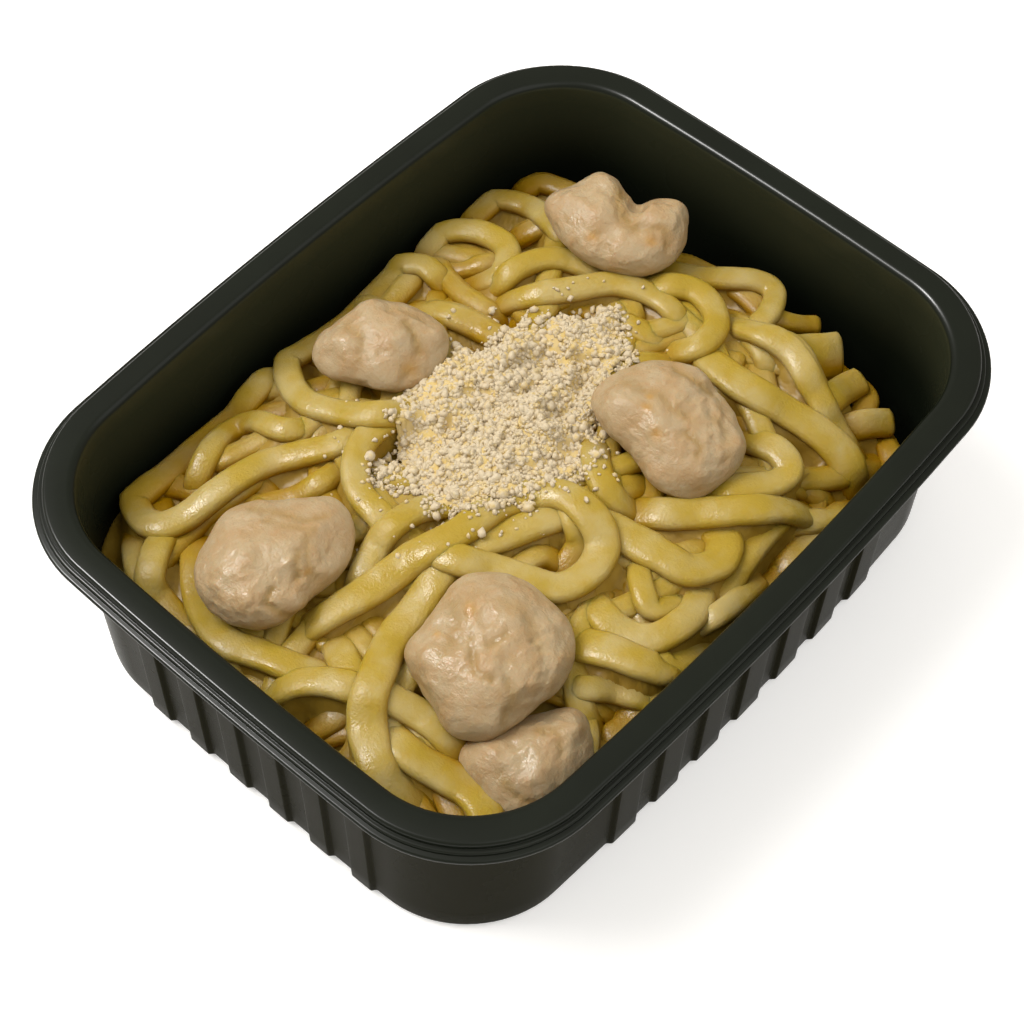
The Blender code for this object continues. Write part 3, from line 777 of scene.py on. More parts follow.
@dataclass
class Tray:
    """The tray: its plan outline, its wall section and its pressed ribs."""

    height: float = 56.0
    half_length: float = 91.0
    half_width: float = 70.8
    short_bow: float = 1.7
    long_bow: float = 3.4
    corner_radius: float = 28.5
    corner_shrink: float = 0.8
    flange: float = 6.4
    wall: float = 1.2
    draft: float = 0.2
    lean: float = 2.0
    lean_top: float = 52.0
    floor: float = 1.4
    lip_reach: float = 2.3
    rib_flank: float = 1.1
    rib_depth: float = 1.1
    lip_drop: float = 3.4
    lit_from: float = 26.0
    corner_steps: int = 22

    def straight(self, inset: Array, z: Array) -> tuple[Array, Array]:
        """Half lengths of the straight parts of the long and the short side at a height."""
        radius = self.corner_radius - self.corner_shrink * inset
        return self.half_length - inset - radius, self.half_width - inset - self.leaning(z) - radius

    def leaning(self, z: Array) -> Array:
        """How much further in the long walls lie at a height than the short walls do."""
        return self.lean * np.clip(1.0 - z / self.lean_top, 0.0, 1.0)

    def bowed(self, x: Array, y: Array, inset: Array) -> Array:
        """Plan points shifted outwards, most at the middle of each side.

        Args:
            x: how far right each point lies.
            y: how far back.
            inset: how far inside the flange's edge the outline lies.

        Returns:
            The shifted points.
        """
        along_x = np.clip(1.0 - (x / (self.half_length - inset)) ** 2, 0.0, 1.0)
        along_y = np.clip(1.0 - (y / (self.half_width - inset)) ** 2, 0.0, 1.0)
        return np.stack((
            x + np.sign(x) * self.short_bow * along_y, y + np.sign(y) * self.long_bow * along_x), -1)

    def inner_inset(self, z: Array) -> Array:
        """How far inside the flange's edge the inner wall lies at a height."""
        return self.flange + self.draft * (self.height - z) / self.height

    def keep_inside(self, points: Array, margin: float) -> Array:
        """Move points in plan until they clear the inner wall by a margin.

        Args:
            points: points in space.
            margin: the room to leave.

        Returns:
            The moved points.
        """
        inset = self.inner_inset(points[:, 2]) + margin
        radius = self.corner_radius - self.corner_shrink * inset
        straight = np.stack(self.straight(inset, points[:, 2]), -1)
        over = np.abs(points[:, :2]) - straight
        reach = np.linalg.norm(np.maximum(over, 0.0), axis=1)
        outside = (over.min(axis=1) > 0.0) & (reach > radius)
        scale = np.where(outside, radius / np.maximum(reach, 1e-6), 1.0)[:, None]
        over = np.minimum(over * np.where(over > 0.0, scale, 1.0), radius[:, None])
        moved = points.copy()
        moved[:, :2] = np.sign(points[:, :2]) * (straight + over)
        return moved

    def side_marks(self, ribs: "RibRow") -> Array:
        """Places along a side where the mesh has a column, close together on rib flanks.

        Args:
            ribs: the side's ribs.

        Returns:
            The places in order.
        """
        half = ribs.width / 2
        flank = np.linspace(-0.2, self.rib_flank + 0.15, 6)
        one = np.concatenate((-half - flank[::-1], (1.5 - half, half - 1.5), half + flank))
        middles = ribs.middles()
        gaps = middles[:-1] + ribs.pitch / 2
        return np.sort(np.concatenate([middle + one for middle in middles] + [gaps]))

    def columns(self) -> tuple[Array, Array, Array]:
        """Kind, number and place of each column round the tray.

        Returns:
            The side or corner number from 0 to 7, the quarter's index, and the place: mm along
            a side, or the angle in a corner.
        """
        kinds, places = [], []
        corner = np.linspace(0.0, math.pi / 2, self.corner_steps)
        for quarter, ribs in enumerate((RibRow.LONG, RibRow.SHORT) * 2):
            marks = self.side_marks(ribs)
            kinds += [np.full(len(corner), 2 * quarter), np.full(len(marks), 2 * quarter + 1)]
            places += [corner + quarter * math.pi / 2, marks]
        every = np.concatenate(kinds)
        return every, every // 2, np.concatenate(places)

    def ring(self, inset: Array, z: Array, columns: tuple[Array, Array, Array]) -> Array:
        """Plan outline of a wall.

        Args:
            inset: how far inside the flange's edge it lies, for all columns or for each.
            z: its height.
            columns: kind, quarter and place of each column.

        Returns:
            A plan point for each column.
        """
        kinds, quarters, places = columns
        inset = np.broadcast_to(inset, kinds.shape)
        length, width = self.half_length - inset, self.half_width - inset - self.leaning(z)
        radius = self.corner_radius - self.corner_shrink * inset
        straight_x, straight_y = self.straight(inset, z)
        sign_x = np.where((quarters == 0) | (quarters == 3), 1.0, -1.0)
        sign_y = np.where(quarters < 2, 1.0, -1.0)
        x = sign_x * straight_x + radius * np.cos(places)
        y = sign_y * straight_y + radius * np.sin(places)
        sides = (kinds == 1, kinds == 3, kinds == 5, kinds == 7)
        x = np.select(sides, (-places, -length, places, length), x)
        y = np.select(sides, (width, -places, -width, places), y)
        return self.bowed(x, y, inset)

    def rib_share(self, columns: tuple[Array, Array, Array]) -> Array:
        """1 on the face of a rib, 0 between ribs and in corners, smooth on the flanks.

        Args:
            columns: kind, quarter and place of each column.

        Returns:
            A share for each column.
        """
        kinds, _, places = columns
        share = np.zeros(len(kinds))
        for sides, ribs in (((1, 5), RibRow.LONG), ((3, 7), RibRow.SHORT)):
            distance = np.abs(places[:, None] - ribs.middles()).min(axis=1)
            face = 1.0 - smooth_step((distance - ribs.width / 2) / self.rib_flank)
            share = np.where(np.isin(kinds, sides), face, share)
        return share

    def section(self) -> Array:
        """The wall's closed section as insets and heights, every corner rounded by an arc.

        Returns:
            Points from the middle of the floor, up inside, over the lip and back below.
        """
        top, foot = self.height, float(self.inner_inset(0.0))
        outer = foot - self.wall
        under = self.flange - self.wall
        corners = (
            (foot + 9.0, self.floor, 0.0), (foot, self.floor, 5.5),
            (self.flange + 0.08, top, 1.7), (0.0, top, 1.0), (0.05, top - 1.7, 0.15),
            (-0.95, top - 1.7, 0.5), (-1.0, top - 2.6, 0.1), (-self.lip_reach, top - 2.7, 0.6),
            (-self.lip_reach + 0.1, top - 3.9, 0.5), (-1.1, top - 3.9, 0.35), (-0.9, top - 2.9, 0.3),
            (under, top - 2.8, 0.8), (outer, 0.0, 2.4), (outer + 9.0, 0.0, 0.0))
        return rounded_path(corners)

    def rib_rise(self, z: Array) -> Array:
        """How far a rib's face stands off the wall at a height: none at the foot or the lip.

        Args:
            z: the height.

        Returns:
            The rise in mm.
        """
        foot = smooth_step((z + 0.4) / 2.6)
        head = 1.0 - smooth_step((z - self.height + 6.6) / 2.2)
        return self.rib_depth * foot * head

    def build(self) -> bpy.types.Object:
        """Make the tray: its section carried round the plan outline, both floors closed.

        A point's inset is the section's, less the rib's rise where the point is on the outer wall.

        Returns:
            The object.
        """
        columns = self.columns()
        section = self.section()
        share = self.rib_share(columns)
        row = np.arange(len(section))
        inset, z = section.T
        top = int(np.argmax(z == z.max()))
        ribbed = (row > top) & (inset > self.flange - self.wall - 0.6)
        rings = []
        for depth, height, has_ribs in zip(inset, z, ribbed):
            reach = share * self.rib_rise(height) if has_ribs else 0.0 * share
            plan = self.ring(depth - reach, height, columns)
            rings.append(np.column_stack((plan, np.full(len(plan), height))))
        grid = np.array(rings)
        marks = {
            # Painted reflection on the inner walls, from lit_from up towards the rim.
            "inside": smooth_step((z - self.lit_from) / 26.0) * ((row < top) & (z < self.height - 1.2)),
            # Painted light on the outer walls below the lip.
            "outside": 1.0 * ((row > top) & (z < self.height - self.lip_drop)),
            "rim": smooth_step((z - self.height + 5.2) / 1.5)}
        poles = ((0.0, 0.0, self.floor), (0.0, 0.0, 0.0))
        mould = Mould()
        mould.add(
            np.vstack((grid.reshape(-1, 3), poles)), capped_tube(*grid.shape[:2], True),
            **{name: np.append(np.repeat(mark, len(share)), (0.0, 0.0)) for name, mark in marks.items()})
        return mould.pour("ready_meal_tray", TrayPlastic().material())


def rounded_path(corners: Sequence[tuple[float, float, float]], steps: int = 6) -> Array:
    """Points along a path whose corners are arcs.

    Args:
        corners: each corner's place and the radius of its arc.
        steps: points on an arc, less one.

    Returns:
        The path's points. An arc touches both of its legs at radius / tan(half the angle).
    """
    points = [np.array(corners[0][:2])]
    for before, here, after in zip(corners, corners[1:], corners[2:]):
        corner = np.array(here[:2])
        back, on = np.array(before[:2]) - corner, np.array(after[:2]) - corner
        shortest = min(np.linalg.norm(back), np.linalg.norm(on)) * 0.49
        back, on = back / np.linalg.norm(back), on / np.linalg.norm(on)
        half = 0.5 * math.acos(float(np.clip(back @ on, -1.0, 1.0)))
        touch = min(here[2] / math.tan(half), shortest)
        radius = touch * math.tan(half)
        bisector = (back + on) / np.linalg.norm(back + on)
        centre = corner + bisector * radius / math.sin(half)
        start, end = corner + back * touch - centre, corner + on * touch - centre
        turn = math.atan2(start[0] * end[1] - start[1] * end[0], start @ end)
        for angle in np.linspace(0.0, turn, steps + 1):
            c, s = math.cos(angle), math.sin(angle)
            points.append(centre + np.array((c * start[0] - s * start[1], s * start[0] + c * start[1])))
    points.append(np.array(corners[-1][:2]))
    return with_long_runs_split(np.array(points), 5.0)


def with_long_runs_split(points: Array, longest: float) -> Array:
    """The same path with points added wherever two neighbours lie too far apart.

    Args:
        points: the path's points.
        longest: most that two may lie apart.

    Returns:
        The longer list of points.
    """
    rows = [points[:1]]
    for one, two in zip(points, points[1:]):
        parts = max(1, math.ceil(float(np.linalg.norm(two - one)) / longest))
        rows.append(one + (two - one) * (np.arange(1, parts + 1) / parts)[:, None])
    return np.vstack(rows)


# The heap


@dataclass
class Heap:
    """The heap's form: a flat dome that tilts a little and sinks in one corner."""

    half_length: float = 86.0
    half_width: float = 67.0
    edge: float = 34.0
    rise: float = 12.5
    tilt: float = 1.5
    corner_drop: float = 12.0
    power: float = 2.4
    shoulder: float = 0.75

    def height(self, plan: Array) -> Array:
        """Height of the noodles' own surface over plan points.

        The dome is 1 less u to a power, times 1 less v to a power, all raised to the shoulder,
        where u and v are the shares of the half length and half width.

        Args:
            plan: plan points, one to a row.

        Returns:
            A height for each.
        """
        x, y = plan[:, 0], plan[:, 1]
        u = np.clip(np.abs(x) / self.half_length, 0.0, 1.0)
        v = np.clip(np.abs(y) / self.half_width, 0.0, 1.0)
        dome = ((1.0 - u ** self.power) * (1.0 - v ** self.power)) ** self.shoulder
        slope = -self.tilt * (x / self.half_length + y / self.half_width)
        right = np.clip(x / self.half_length, 0.0, 1.0) ** 2
        near = np.clip(-y / self.half_width, 0.0, 1.0) ** 2
        return self.edge + self.rise * dome + slope - self.corner_drop * right * near


@dataclass
class Relief:
    """Highest surface laid so far, kept on a plan grid."""

    half_x: float = 94.0
    half_y: float = 76.0
    pitch: float = 0.5
    heights: Array | None = None

    def __post_init__(self) -> None:
        """Start with an empty grid, unless one is given."""
        if self.heights is None:
            shape = (round(2 * self.half_y / self.pitch) + 1, round(2 * self.half_x / self.pitch) + 1)
            self.heights = np.zeros(shape)

    def plan(self) -> Array:
        """Plan position of every grid point, one to a row.

        Returns:
            The positions, by rows of the grid.
        """
        rows, columns = self.heights.shape
        y, x = np.meshgrid(
            np.arange(rows) * self.pitch - self.half_y, np.arange(columns) * self.pitch - self.half_x,
            indexing="ij")
        return np.column_stack((x.ravel(), y.ravel()))

    def cell(self, plan: Array) -> tuple[Array, Array]:
        """Row and column of the grid point nearest to each plan position.

        Args:
            plan: plan points, one to a row.

        Returns:
            Rows and columns.
        """
        rows, columns = self.heights.shape
        row = np.clip(np.rint((plan[..., 1] + self.half_y) / self.pitch).astype(int), 0, rows - 1)
        column = np.clip(np.rint((plan[..., 0] + self.half_x) / self.pitch).astype(int), 0, columns - 1)
        return row, column

    def read(self, plan: Array) -> Array:
        """Height of the surface under each plan position."""
        return self.heights[self.cell(plan)]

    def lay(self, points: Array) -> None:
        """Raise the surface to points that lie on top of a new piece."""
        np.maximum.at(self.heights, self.cell(points), points[..., 2])


class Layer(Enum):
    """How high in the heap a noodle was planned, in mm over the heap's own surface."""

    BOTTOM = -4.5
    LOW = -4.0
    LOWER = -2.2
    UPPER = 0.0
    TOP = 1.5


@dataclass(frozen=True)
class Noodle:
    """One noodle: its layer, width and plan route, whether each end is tucked down out of
    sight, and by how many degrees it is rolled."""

    name: str
    layer: Layer
    width: float
    route: tuple[tuple[float, float], ...]
    hidden: tuple[bool, bool] = (True, True)
    bank: float = 0.0


NOODLES: tuple[Noodle, ...] = (
    Noodle("inner_arch", Layer.LOW, 5.4, (
        (-56, 49), (-46, 54), (-38, 56), (-32, 53), (-30, 45), (-26, 40))),
    Noodle("inner_strand", Layer.LOW, 5.4, ((-33, 58), (-27, 60), (-21, 56), (-18, 48))),
    Noodle("loop_inner_long", Layer.LOW, 6.6, ((-33, -8), (-23, -12), (-12, -17), (-3, -22))),
    Noodle("loop_inner_bend", Layer.BOTTOM, 5.6, ((-31, -21), (-23, -21), (-18, -23), (-17, -30))),
    Noodle("loop_inner_right", Layer.LOW, 5.8, ((-4, -15), (-7, -22), (-11, -27), (-20, -29))),
    Noodle("low_right_under", Layer.LOW, 6.0, ((-21, -48), (-20, -54), (-17, -60), (-9, -61))),
    Noodle("near_mid_strand", Layer.LOW, 6.4, (
        (-62, -2), (-65, -11), (-64, -21), (-63, -28), (-63, -36), (-65, -42))),
    Noodle("left_corner_strand", Layer.BOTTOM, 5.4, ((-71, 53), (-76, 44), (-78, 36))),
    Noodle("right_inner_strand", Layer.LOW, 5.2, ((60, -13), (61, -18), (59, -23), (55, -27))),
    Noodle("low_right_inner", Layer.LOW, 5.4, ((-4, -38), (-9, -43), (-11, -48), (-5, -51))),
    Noodle("near_right_strand", Layer.LOW, 5.4, ((-39, -46), (-33, -52), (-28, -59), (-27, -63))),
    Noodle("right_flat_tip", Layer.LOW, 4.2, ((70, -12), (75, -20), (80, -24)), (True, False), -20.0),
    Noodle("right_corner_bend", Layer.BOTTOM, 5.6, ((72, -39), (71, -45), (65, -48), (57, -50))),
    Noodle("right_corner_strand", Layer.LOW, 6.4, (
        (54, -46), (60, -48), (65, -50), (70, -53)), (True, False), -24.0),
    Noodle("left_rim_strand", Layer.LOWER, 6.2, (
        (-65, 46), (-72, 43), (-78, 38), (-80, 30), (-80, 19), (-80, 6))),
    Noodle("left_rim_long", Layer.LOWER, 6.8, ((-65, 38), (-74, 27), (-77, 16), (-74, 5), (-70, -9))),
    Noodle("far_left_loop", Layer.LOWER, 6.4, (
        (-6, 24), (-25, 30), (-42, 41), (-62, 45), (-67, 50), (-66, 57),
        (-61, 61), (-51, 63), (-41, 64), (-30, 65), (-23, 63), (-18, 57))),
    Noodle("cheese_left_curve", Layer.LOWER, 6.0, (
        (-10, 24), (-17, 27), (-26, 25), (-33, 18), (-35, 9), (-38, 2))),
    Noodle("near_low_strand", Layer.LOWER, 7.6, (
        (-71, -26), (-71, -35), (-70, -42), (-69, -48), (-70, -53), (-73, -57)), (True, False), 14.0),
    Noodle("near_arch", Layer.LOWER, 6.2, ((-80, -1), (-74, -4), (-69, -11), (-67, -18))),
    Noodle("back_far_arch", Layer.LOWER, 5.6, (
        (44, 58), (51, 61), (57, 58), (59, 50), (57, 40), (53, 31))),
    Noodle("right_flat_piece", Layer.LOWER, 10.0, (
        (60, -22), (64, -27), (69, -31), (75, -34)), (True, False), -30.0),
    Noodle("right_cut_ribbon", Layer.LOWER, 6.6, (
        (53, -43), (60, -41), (66, -41), (73, -42)), (True, False), -22.0),
    Noodle("right_back_strand", Layer.LOWER, 5.6, (
        (62, 14), (69, 3), (77, -5), (78, -11), (71, -15), (62, -16))),
    Noodle("right_far_strand", Layer.LOWER, 5.2, ((63, -16), (66, -25), (63, -33), (60, -40))),
    Noodle("right_upper_diagonal", Layer.LOWER, 6.0, (
        (59, -10), (63, -18), (64, -26), (60, -36), (55, -48), (53, -58))),
    Noodle("right_u_loop", Layer.LOWER, 6.2, (
        (36, -35), (39, -42), (37, -47), (32, -47), (24, -42), (17, -38))),
    Noodle("cheese_right_strand", Layer.LOWER, 6.2, ((12, -12), (7, -16), (3, -23), (3, -31))),
    Noodle("low_right_u", Layer.LOWER, 6.2, ((-20, -37), (-21, -47), (-17, -53), (-7, -55), (0, -53))),
    Noodle("short_rod", Layer.LOWER, 5.0, ((-7, -58), (0, -59), (8, -60))),
    Noodle("back_arch", Layer.UPPER, 5.6, (
        (28, 60), (34, 61), (40, 57), (43, 50), (42, 42), (35, 37), (29, 39))),
    Noodle("chunk_left_loop", Layer.UPPER, 6.0, (
        (24, 46), (26, 55), (21, 62), (12, 65), (1, 66), (-10, 63),
        (-19, 55), (-23, 45), (-20, 34), (-14, 26), (-7, 23))),
    Noodle("back_cross", Layer.UPPER, 5.6, ((29, 35), (38, 35), (45, 32), (49, 25), (50, 16))),
    Noodle("cheese_back_strand", Layer.UPPER, 5.6, (
        (27, 30), (35, 25), (42, 20), (50, 14), (53, 4), (51, -6))),
    Noodle("left_to_cheese", Layer.UPPER, 6.0, ((-55, -1), (-45, 3), (-37, 5), (-29, 3), (-21, -4))),
    Noodle("near_diagonal", Layer.UPPER, 7.4, (
        (-27, -9), (-38, -11), (-48, -13), (-56, -14), (-64, -17), (-71, -21), (-76, -27),
        (-79, -34), (-79, -43))),
    Noodle("right_diagonal", Layer.UPPER, 7.4, (
        (47, -13), (46, -25), (48, -35), (50, -45), (50, -53), (46, -61))),
    Noodle("right_hook", Layer.UPPER, 7.6, (
        (-6, -26), (-4, -34), (-2, -43), (0, -49), (6, -52), (11, -50), (12, -45))),
    Noodle("right_ribbon", Layer.UPPER, 7.2, ((2, -32), (10, -40), (19, -47), (27, -53), (31, -59))),
    Noodle("low_right_ribbon", Layer.UPPER, 7.6, ((-32, -42), (-27, -49), (-23, -57), (-20, -63))),
    Noodle("right_loop", Layer.TOP, 6.0, (
        (54, 8), (60, 1), (60, -5), (56, -11), (48, -13), (42, -10))),
    Noodle("centre_loop", Layer.TOP, 6.8, (
        (-68, 2), (-50, -3), (-38, -5), (-28, -8), (-16, -10), (-7, -17), (-6, -25),
        (-9, -32), (-16, -35), (-24, -33), (-28, -26), (-32, -16), (-35, -9), (-37, -4))),
)


@dataclass
class NoodleHeap:
    """The noodles, laid one after another on a sauce bed so that each rests on the last.

    A route is planned on the heap's own surface. The lean is how far a point moves in plan,
    for each mm that it lies higher, to stay on the same line of sight.
    """

    tray: Tray
    heap: Heap
    thickness: float = 3.7
    across_power: float = 0.84
    over_power: float = 0.72
    roll_swing: float = 16.0
    skin_relief: float = 0.20
    taper_length: float = 0.9
    # How far under the heap's surface the painted shade becomes full.
    full_shade_depth: float = 6.5
    highest: float = 53.5
    route_pitch: float = 0.6
    pitch: float = 0.9
    sides: int = 16
    sink: float = 0.8
    slack: float = 2.6
    bed_depth: float = 8.0
    filler_lifts: tuple[float, ...] = (-6.6, -5.4)
    filler_counts: tuple[int, ...] = (85, 75)
    filler_seed: int = 5
    filler_sides: int = 10
    filler_pitch: float = 1.5
    filler_field: tuple[float, float] = (78.0, 59.0)
    filler_bend: float = 1.8
    filler_lengths: tuple[float, float] = (30.0, 56.0)
    filler_widths: tuple[float, float] = (5.6, 7.0)
    end_reach: float = 4.0
    gap_start: float = 77.0
    gap_slope: float = 0.16
    sauce_drop: float = 2.7
    skirt: float = 14.0
    end_drop: float = 7.0
    end_run: float = 6.5
    fullness: float = 1.11
    lean: tuple[float, float] = (-0.4917, -0.4425)
    relief: Relief = field(default_factory=Relief)

    def __post_init__(self) -> None:
        """Start the relief with the bed that everything lies on."""
        bed = self.bed_height(self.relief.plan())
        self.relief.heights = bed.reshape(self.relief.heights.shape)

    def bed_height(self, plan: Array) -> Array:
        """Height of the sauce bed: the heap's surface, lowered, with soft lumps."""
        return self.heap.height(plan) - self.bed_depth + 0.9 * plan_noise(plan, 11.0, 3, 3)

    def support(self, plan: Array, width: float) -> Array:
        """Lowest height at which a noodle's middle clears what lies under its whole width.

        Across the width the noodle's underside is thickness / 2 times root(1 - (2d / width)
        squared) below its middle, where d is the distance from the middle line.

        Args:
            plan: the noodle's middle line.
            width: its width.

        Returns:
            A height for each station.
        """
        side = to_the_left(plan)
        offsets = np.linspace(-0.42, 0.42, 7) * width
        under = self.thickness / 2 * np.sqrt(1.0 - (2 * offsets / width) ** 2)
        rows = [self.relief.read(plan + offset * side) + low for offset, low in zip(offsets, under)]
        return np.max(rows, axis=0)

    def lay(self, route: Array, width: float, lift: float, hidden: tuple[bool, bool],
            ceiling: float) -> Array:
        """Lay one noodle and return its stations.

        Args:
            route: plan stations at an even pitch, planned on the heap's surface plus the lift.
            width: the noodle's width.
            lift: planned height over the heap's surface.
            hidden: whether each end is tucked down out of sight.
            ceiling: most that it may stand over its planned height.

        Returns:
            Stations in space. Where a noodle lies higher than planned it moves towards the
            viewer by the same sight line, so that it shows where it was planned.
        """
        planned = self.heap.height(route) + lift
        plan = route.copy()
        step = float(np.linalg.norm(route[1] - route[0]))
        distance = np.arange(len(route)) * step
        height = planned
        for _ in range(3):
            rest = self.support(plan, width) - self.sink
            rest = softened(highest_near(rest, 1.5, step), 2.6, step)
            height = np.clip(rest, planned - self.slack, planned + ceiling)
            height = softened(height, 1.6, step)
            for is_hidden, gap in zip(hidden, (distance, distance[::-1])):
                if is_hidden:
                    height = height - self.end_drop * np.exp(-(gap / self.end_run) ** 2)
            plan = route + (height - planned)[:, None] * np.array(self.lean)
        stations = np.column_stack((plan, np.minimum(height, self.highest)))
        return self.tray.keep_inside(stations, width / 2 + 0.2)

    def stamp(self, stations: Array, width: float) -> None:
        """Raise the relief to a noodle's upper side.

        Args:
            stations: the noodle's middle line in space.
            width: its width.
        """
        fine = smooth_route(stations, 0.4)
        side = to_the_left(fine)
        for offset in np.linspace(-0.48, 0.48, 17) * width:
            top = fine.copy()
            top[:, :2] += offset * side
            top[:, 2] += self.thickness / 2 * math.sqrt(1.0 - (2 * offset / width) ** 2)
            self.relief.lay(top)

    def sweep(self, mould: Mould, stations: Array, width: float, seed: int, bank: float,
              sides: int, pitch: float) -> None:
        """Add one noodle's skin to a mould.

        The section is a soft oval: half the width times cos, and half the thickness times sin,
        each raised to a power below 1, so that it is fuller than an ellipse. It is carried
        along the stations, rolled a little, and its skin is uneven by a slow noise.

        Args:
            mould: gathers the heap's skins.
            stations: the noodle's middle line.
            width: its width.
            seed: picks its unevenness.
            bank: its roll in degrees.
            sides: points round the section.
            pitch: distance between two sections.
        """
        stations = smooth_route(stations, pitch)
        along = unit(np.gradient(stations, axis=0))
        side = unit(np.cross(along, (0.0, 0.0, 1.0)))
        upright = np.cross(side, along)
        distance = np.arange(len(stations)) * pitch
        marks = np.column_stack((distance, np.full((len(stations), 2), 7.3 * seed)))
        roll = np.radians(bank + self.roll_swing * lattice_noise(marks, 14.0, seed))
        side, upright = (
            side * np.cos(roll)[:, None] + upright * np.sin(roll)[:, None],
            upright * np.cos(roll)[:, None] - side * np.sin(roll)[:, None])
        half = width / 2 * (1.0 + 0.07 * lattice_noise(marks, 12.0, seed + 50))
        thick = self.thickness / 2 * (1.0 + 0.10 * lattice_noise(marks, 9.0, seed + 90))
        angle = np.arange(sides) * 2 * math.pi / sides
        across = np.sign(np.cos(angle)) * np.abs(np.cos(angle)) ** self.across_power
        over = np.sign(np.sin(angle)) * np.abs(np.sin(angle)) ** self.over_power
        from_end = np.minimum(distance, distance[::-1])
        from_tip = np.clip(from_end / self.taper_length, 0.0, 1.0)
        taper = np.sqrt(np.clip(1.0 - (1.0 - from_tip) ** 2, 0.6, 1.0))
        ring = (
            (half * taper)[:, None, None] * across[None, :, None] * side[:, None, :]
            + (thick * taper)[:, None, None] * over[None, :, None] * upright[:, None, :])
        outward = unit(ring)
        skin = stations[:, None, :] + ring
        lumps = layered_noise(skin.reshape(-1, 3), 5.5, 400 + seed, 2).reshape(skin.shape[:2])
        skin = skin + self.skin_relief * lumps[..., None] * outward
        flat = np.vstack((skin.reshape(-1, 3), stations[:1], stations[-1:]))
        # Painted shade: how far under the heap's surface a point lies, plus its turn from the light, sets
        # the shade colour.
        depth = self.heap.height(flat[:, :2]) - 1.0 - flat[:, 2]
        turned = np.append(smooth_step((0.45 - outward @ TOWARDS_LIGHT) / 1.2), (0.3, 0.3))
        mould.add(
            flat, capped_tube(len(stations), sides, True),
            depth=np.clip(smooth_step(depth / self.full_shade_depth) + 0.9 * turned, 0.0, 1.0))

    def fillers(self, count: int, draw: np.random.Generator) -> list[tuple[Array, float]]:
        """Plan noodles that show only through the gaps.

        Args:
            count: how many.
            draw: the source of the random numbers.

        Returns:
            A route and a width for each.
        """
        found = []
        for _ in range(count):
            middle = draw.uniform(-np.array(self.filler_field), self.filler_field)
            heading = draw.uniform(0.0, 2 * math.pi)
            bend = draw.uniform(-self.filler_bend, self.filler_bend)
            length = draw.uniform(*self.filler_lengths)
            turn = heading + bend * np.linspace(-0.5, 0.5, 7)
            steps = length / 6 * np.column_stack((np.cos(turn), np.sin(turn)))
            points = middle + np.cumsum(steps, axis=0) - steps.sum(axis=0) / 2
            found.append((smooth_route(points, self.route_pitch), float(draw.uniform(*self.filler_widths))))
        return found

    def gap_edge(self, y: Array) -> Array:
        """Where the bare corner at the right starts, further in towards the near side."""
        return self.gap_start - self.gap_slope * np.maximum(-y, 0.0)

    def in_right_gap(self, route: Array) -> bool:
        """Whether a route enters the corner at the right, where the tray's wall shows bare."""
        return bool(np.any(route[:, 0] > self.gap_edge(route[:, 1])))

    def extended(self, noodle: Noodle) -> Array:
        """A noodle's plan route at an even pitch, run on past each end that is hidden.

        Args:
            noodle: its route and which ends are hidden.

        Returns:
            The even stations.
        """
        route = np.array(noodle.route, dtype=float)
        for index, inner in ((0, 1), (-1, -2)):
            if noodle.hidden[index]:
                run_on = route[index] - route[inner]
                end = route[index] + run_on * (self.end_reach / np.linalg.norm(run_on))
                route = np.vstack((end[None], route)) if index == 0 else np.vstack((route, end[None]))
        return smooth_route(route, self.route_pitch)

    def build(self) -> bpy.types.Object:
        """Make the noodles: first the fillers, then the named ones from the lowest up.

        Returns:
            The object.
        """
        mould = Mould()
        draw = np.random.default_rng(self.filler_seed)
        seed = 200
        for lift, count in zip(self.filler_lifts, self.filler_counts):
            clear = [filler for filler in self.fillers(count, draw) if not self.in_right_gap(filler[0])]
            for seed, (route, width) in enumerate(clear, seed):
                stations = self.lay(route, width, lift, (True, True), 1.6)
                self.sweep(mould, stations, width, seed, 0.0, self.filler_sides, self.filler_pitch)
                self.stamp(stations, width)
            seed += 1
        order = sorted(NOODLES, key=lambda noodle: noodle.layer.value)
        for seed, noodle in enumerate(order):
            width = noodle.width * self.fullness
            stations = self.lay(self.extended(noodle), width, noodle.layer.value, noodle.hidden, 4.5)
            self.sweep(mould, stations, width, seed, noodle.bank, self.sides, self.pitch)
            self.stamp(stations, width)
        return mould.pour("fettuccine_heap", SaucedPasta().material())

    def sauce_height(self) -> Array:
        """Surface of the sauce, a little below the noodles and level across narrow gaps.

        The noodles' own surface is spread by its highest values and then shrunk by its lowest
        ones, which closes the gaps that are narrower than the reach; then it is softened.

        Returns:
            Heights on the relief's grid.
        """
        reach = 4
        surface = self.relief.heights
        disc = [
            (row, column) for row in range(-reach, reach + 1) for column in range(-reach, reach + 1)
            if row * row + column * column <= reach * reach]
        spread = np.max([np.roll(surface, shift, axis=(0, 1)) for shift in disc], axis=0)
        closed = np.min([np.roll(spread, shift, axis=(0, 1)) for shift in disc], axis=0)
        return blurred(closed, 1.0, 4) - self.sauce_drop

    def build_bed(self) -> bpy.types.Object:
        """Make the sauce: rings of the tray's inner outline, shrunk towards the middle.

        Returns:
            The object.
        """
        surface = Relief(heights=self.sauce_height())
        rim = self.tray.ring(self.tray.inner_inset(36.0) + 0.3, 36.0, self.tray.columns())
        rim[:, 0] = np.minimum(rim[:, 0], self.gap_edge(rim[:, 1]) - 4.0)
        rings = [np.column_stack((rim, surface.read(rim) - self.skirt))]
        for share in np.linspace(1.0, 0.01, 80):
            plan = rim * share
            rings.append(np.column_stack((plan, surface.read(plan))))
        rows, count = len(rings), len(rim)
        middle = (0.0, 0.0, float(surface.read(np.zeros((1, 2)))[0]))
        mould = Mould()
        mould.add(
            np.vstack((*rings, middle)),
            (grid_quads(rows, count, True), fan((rows - 1) * count, count, rows * count, False)))
        return mould.pour("cream_sauce_painted_shade", CreamSauceInPaintedShade().material())


# The chicken


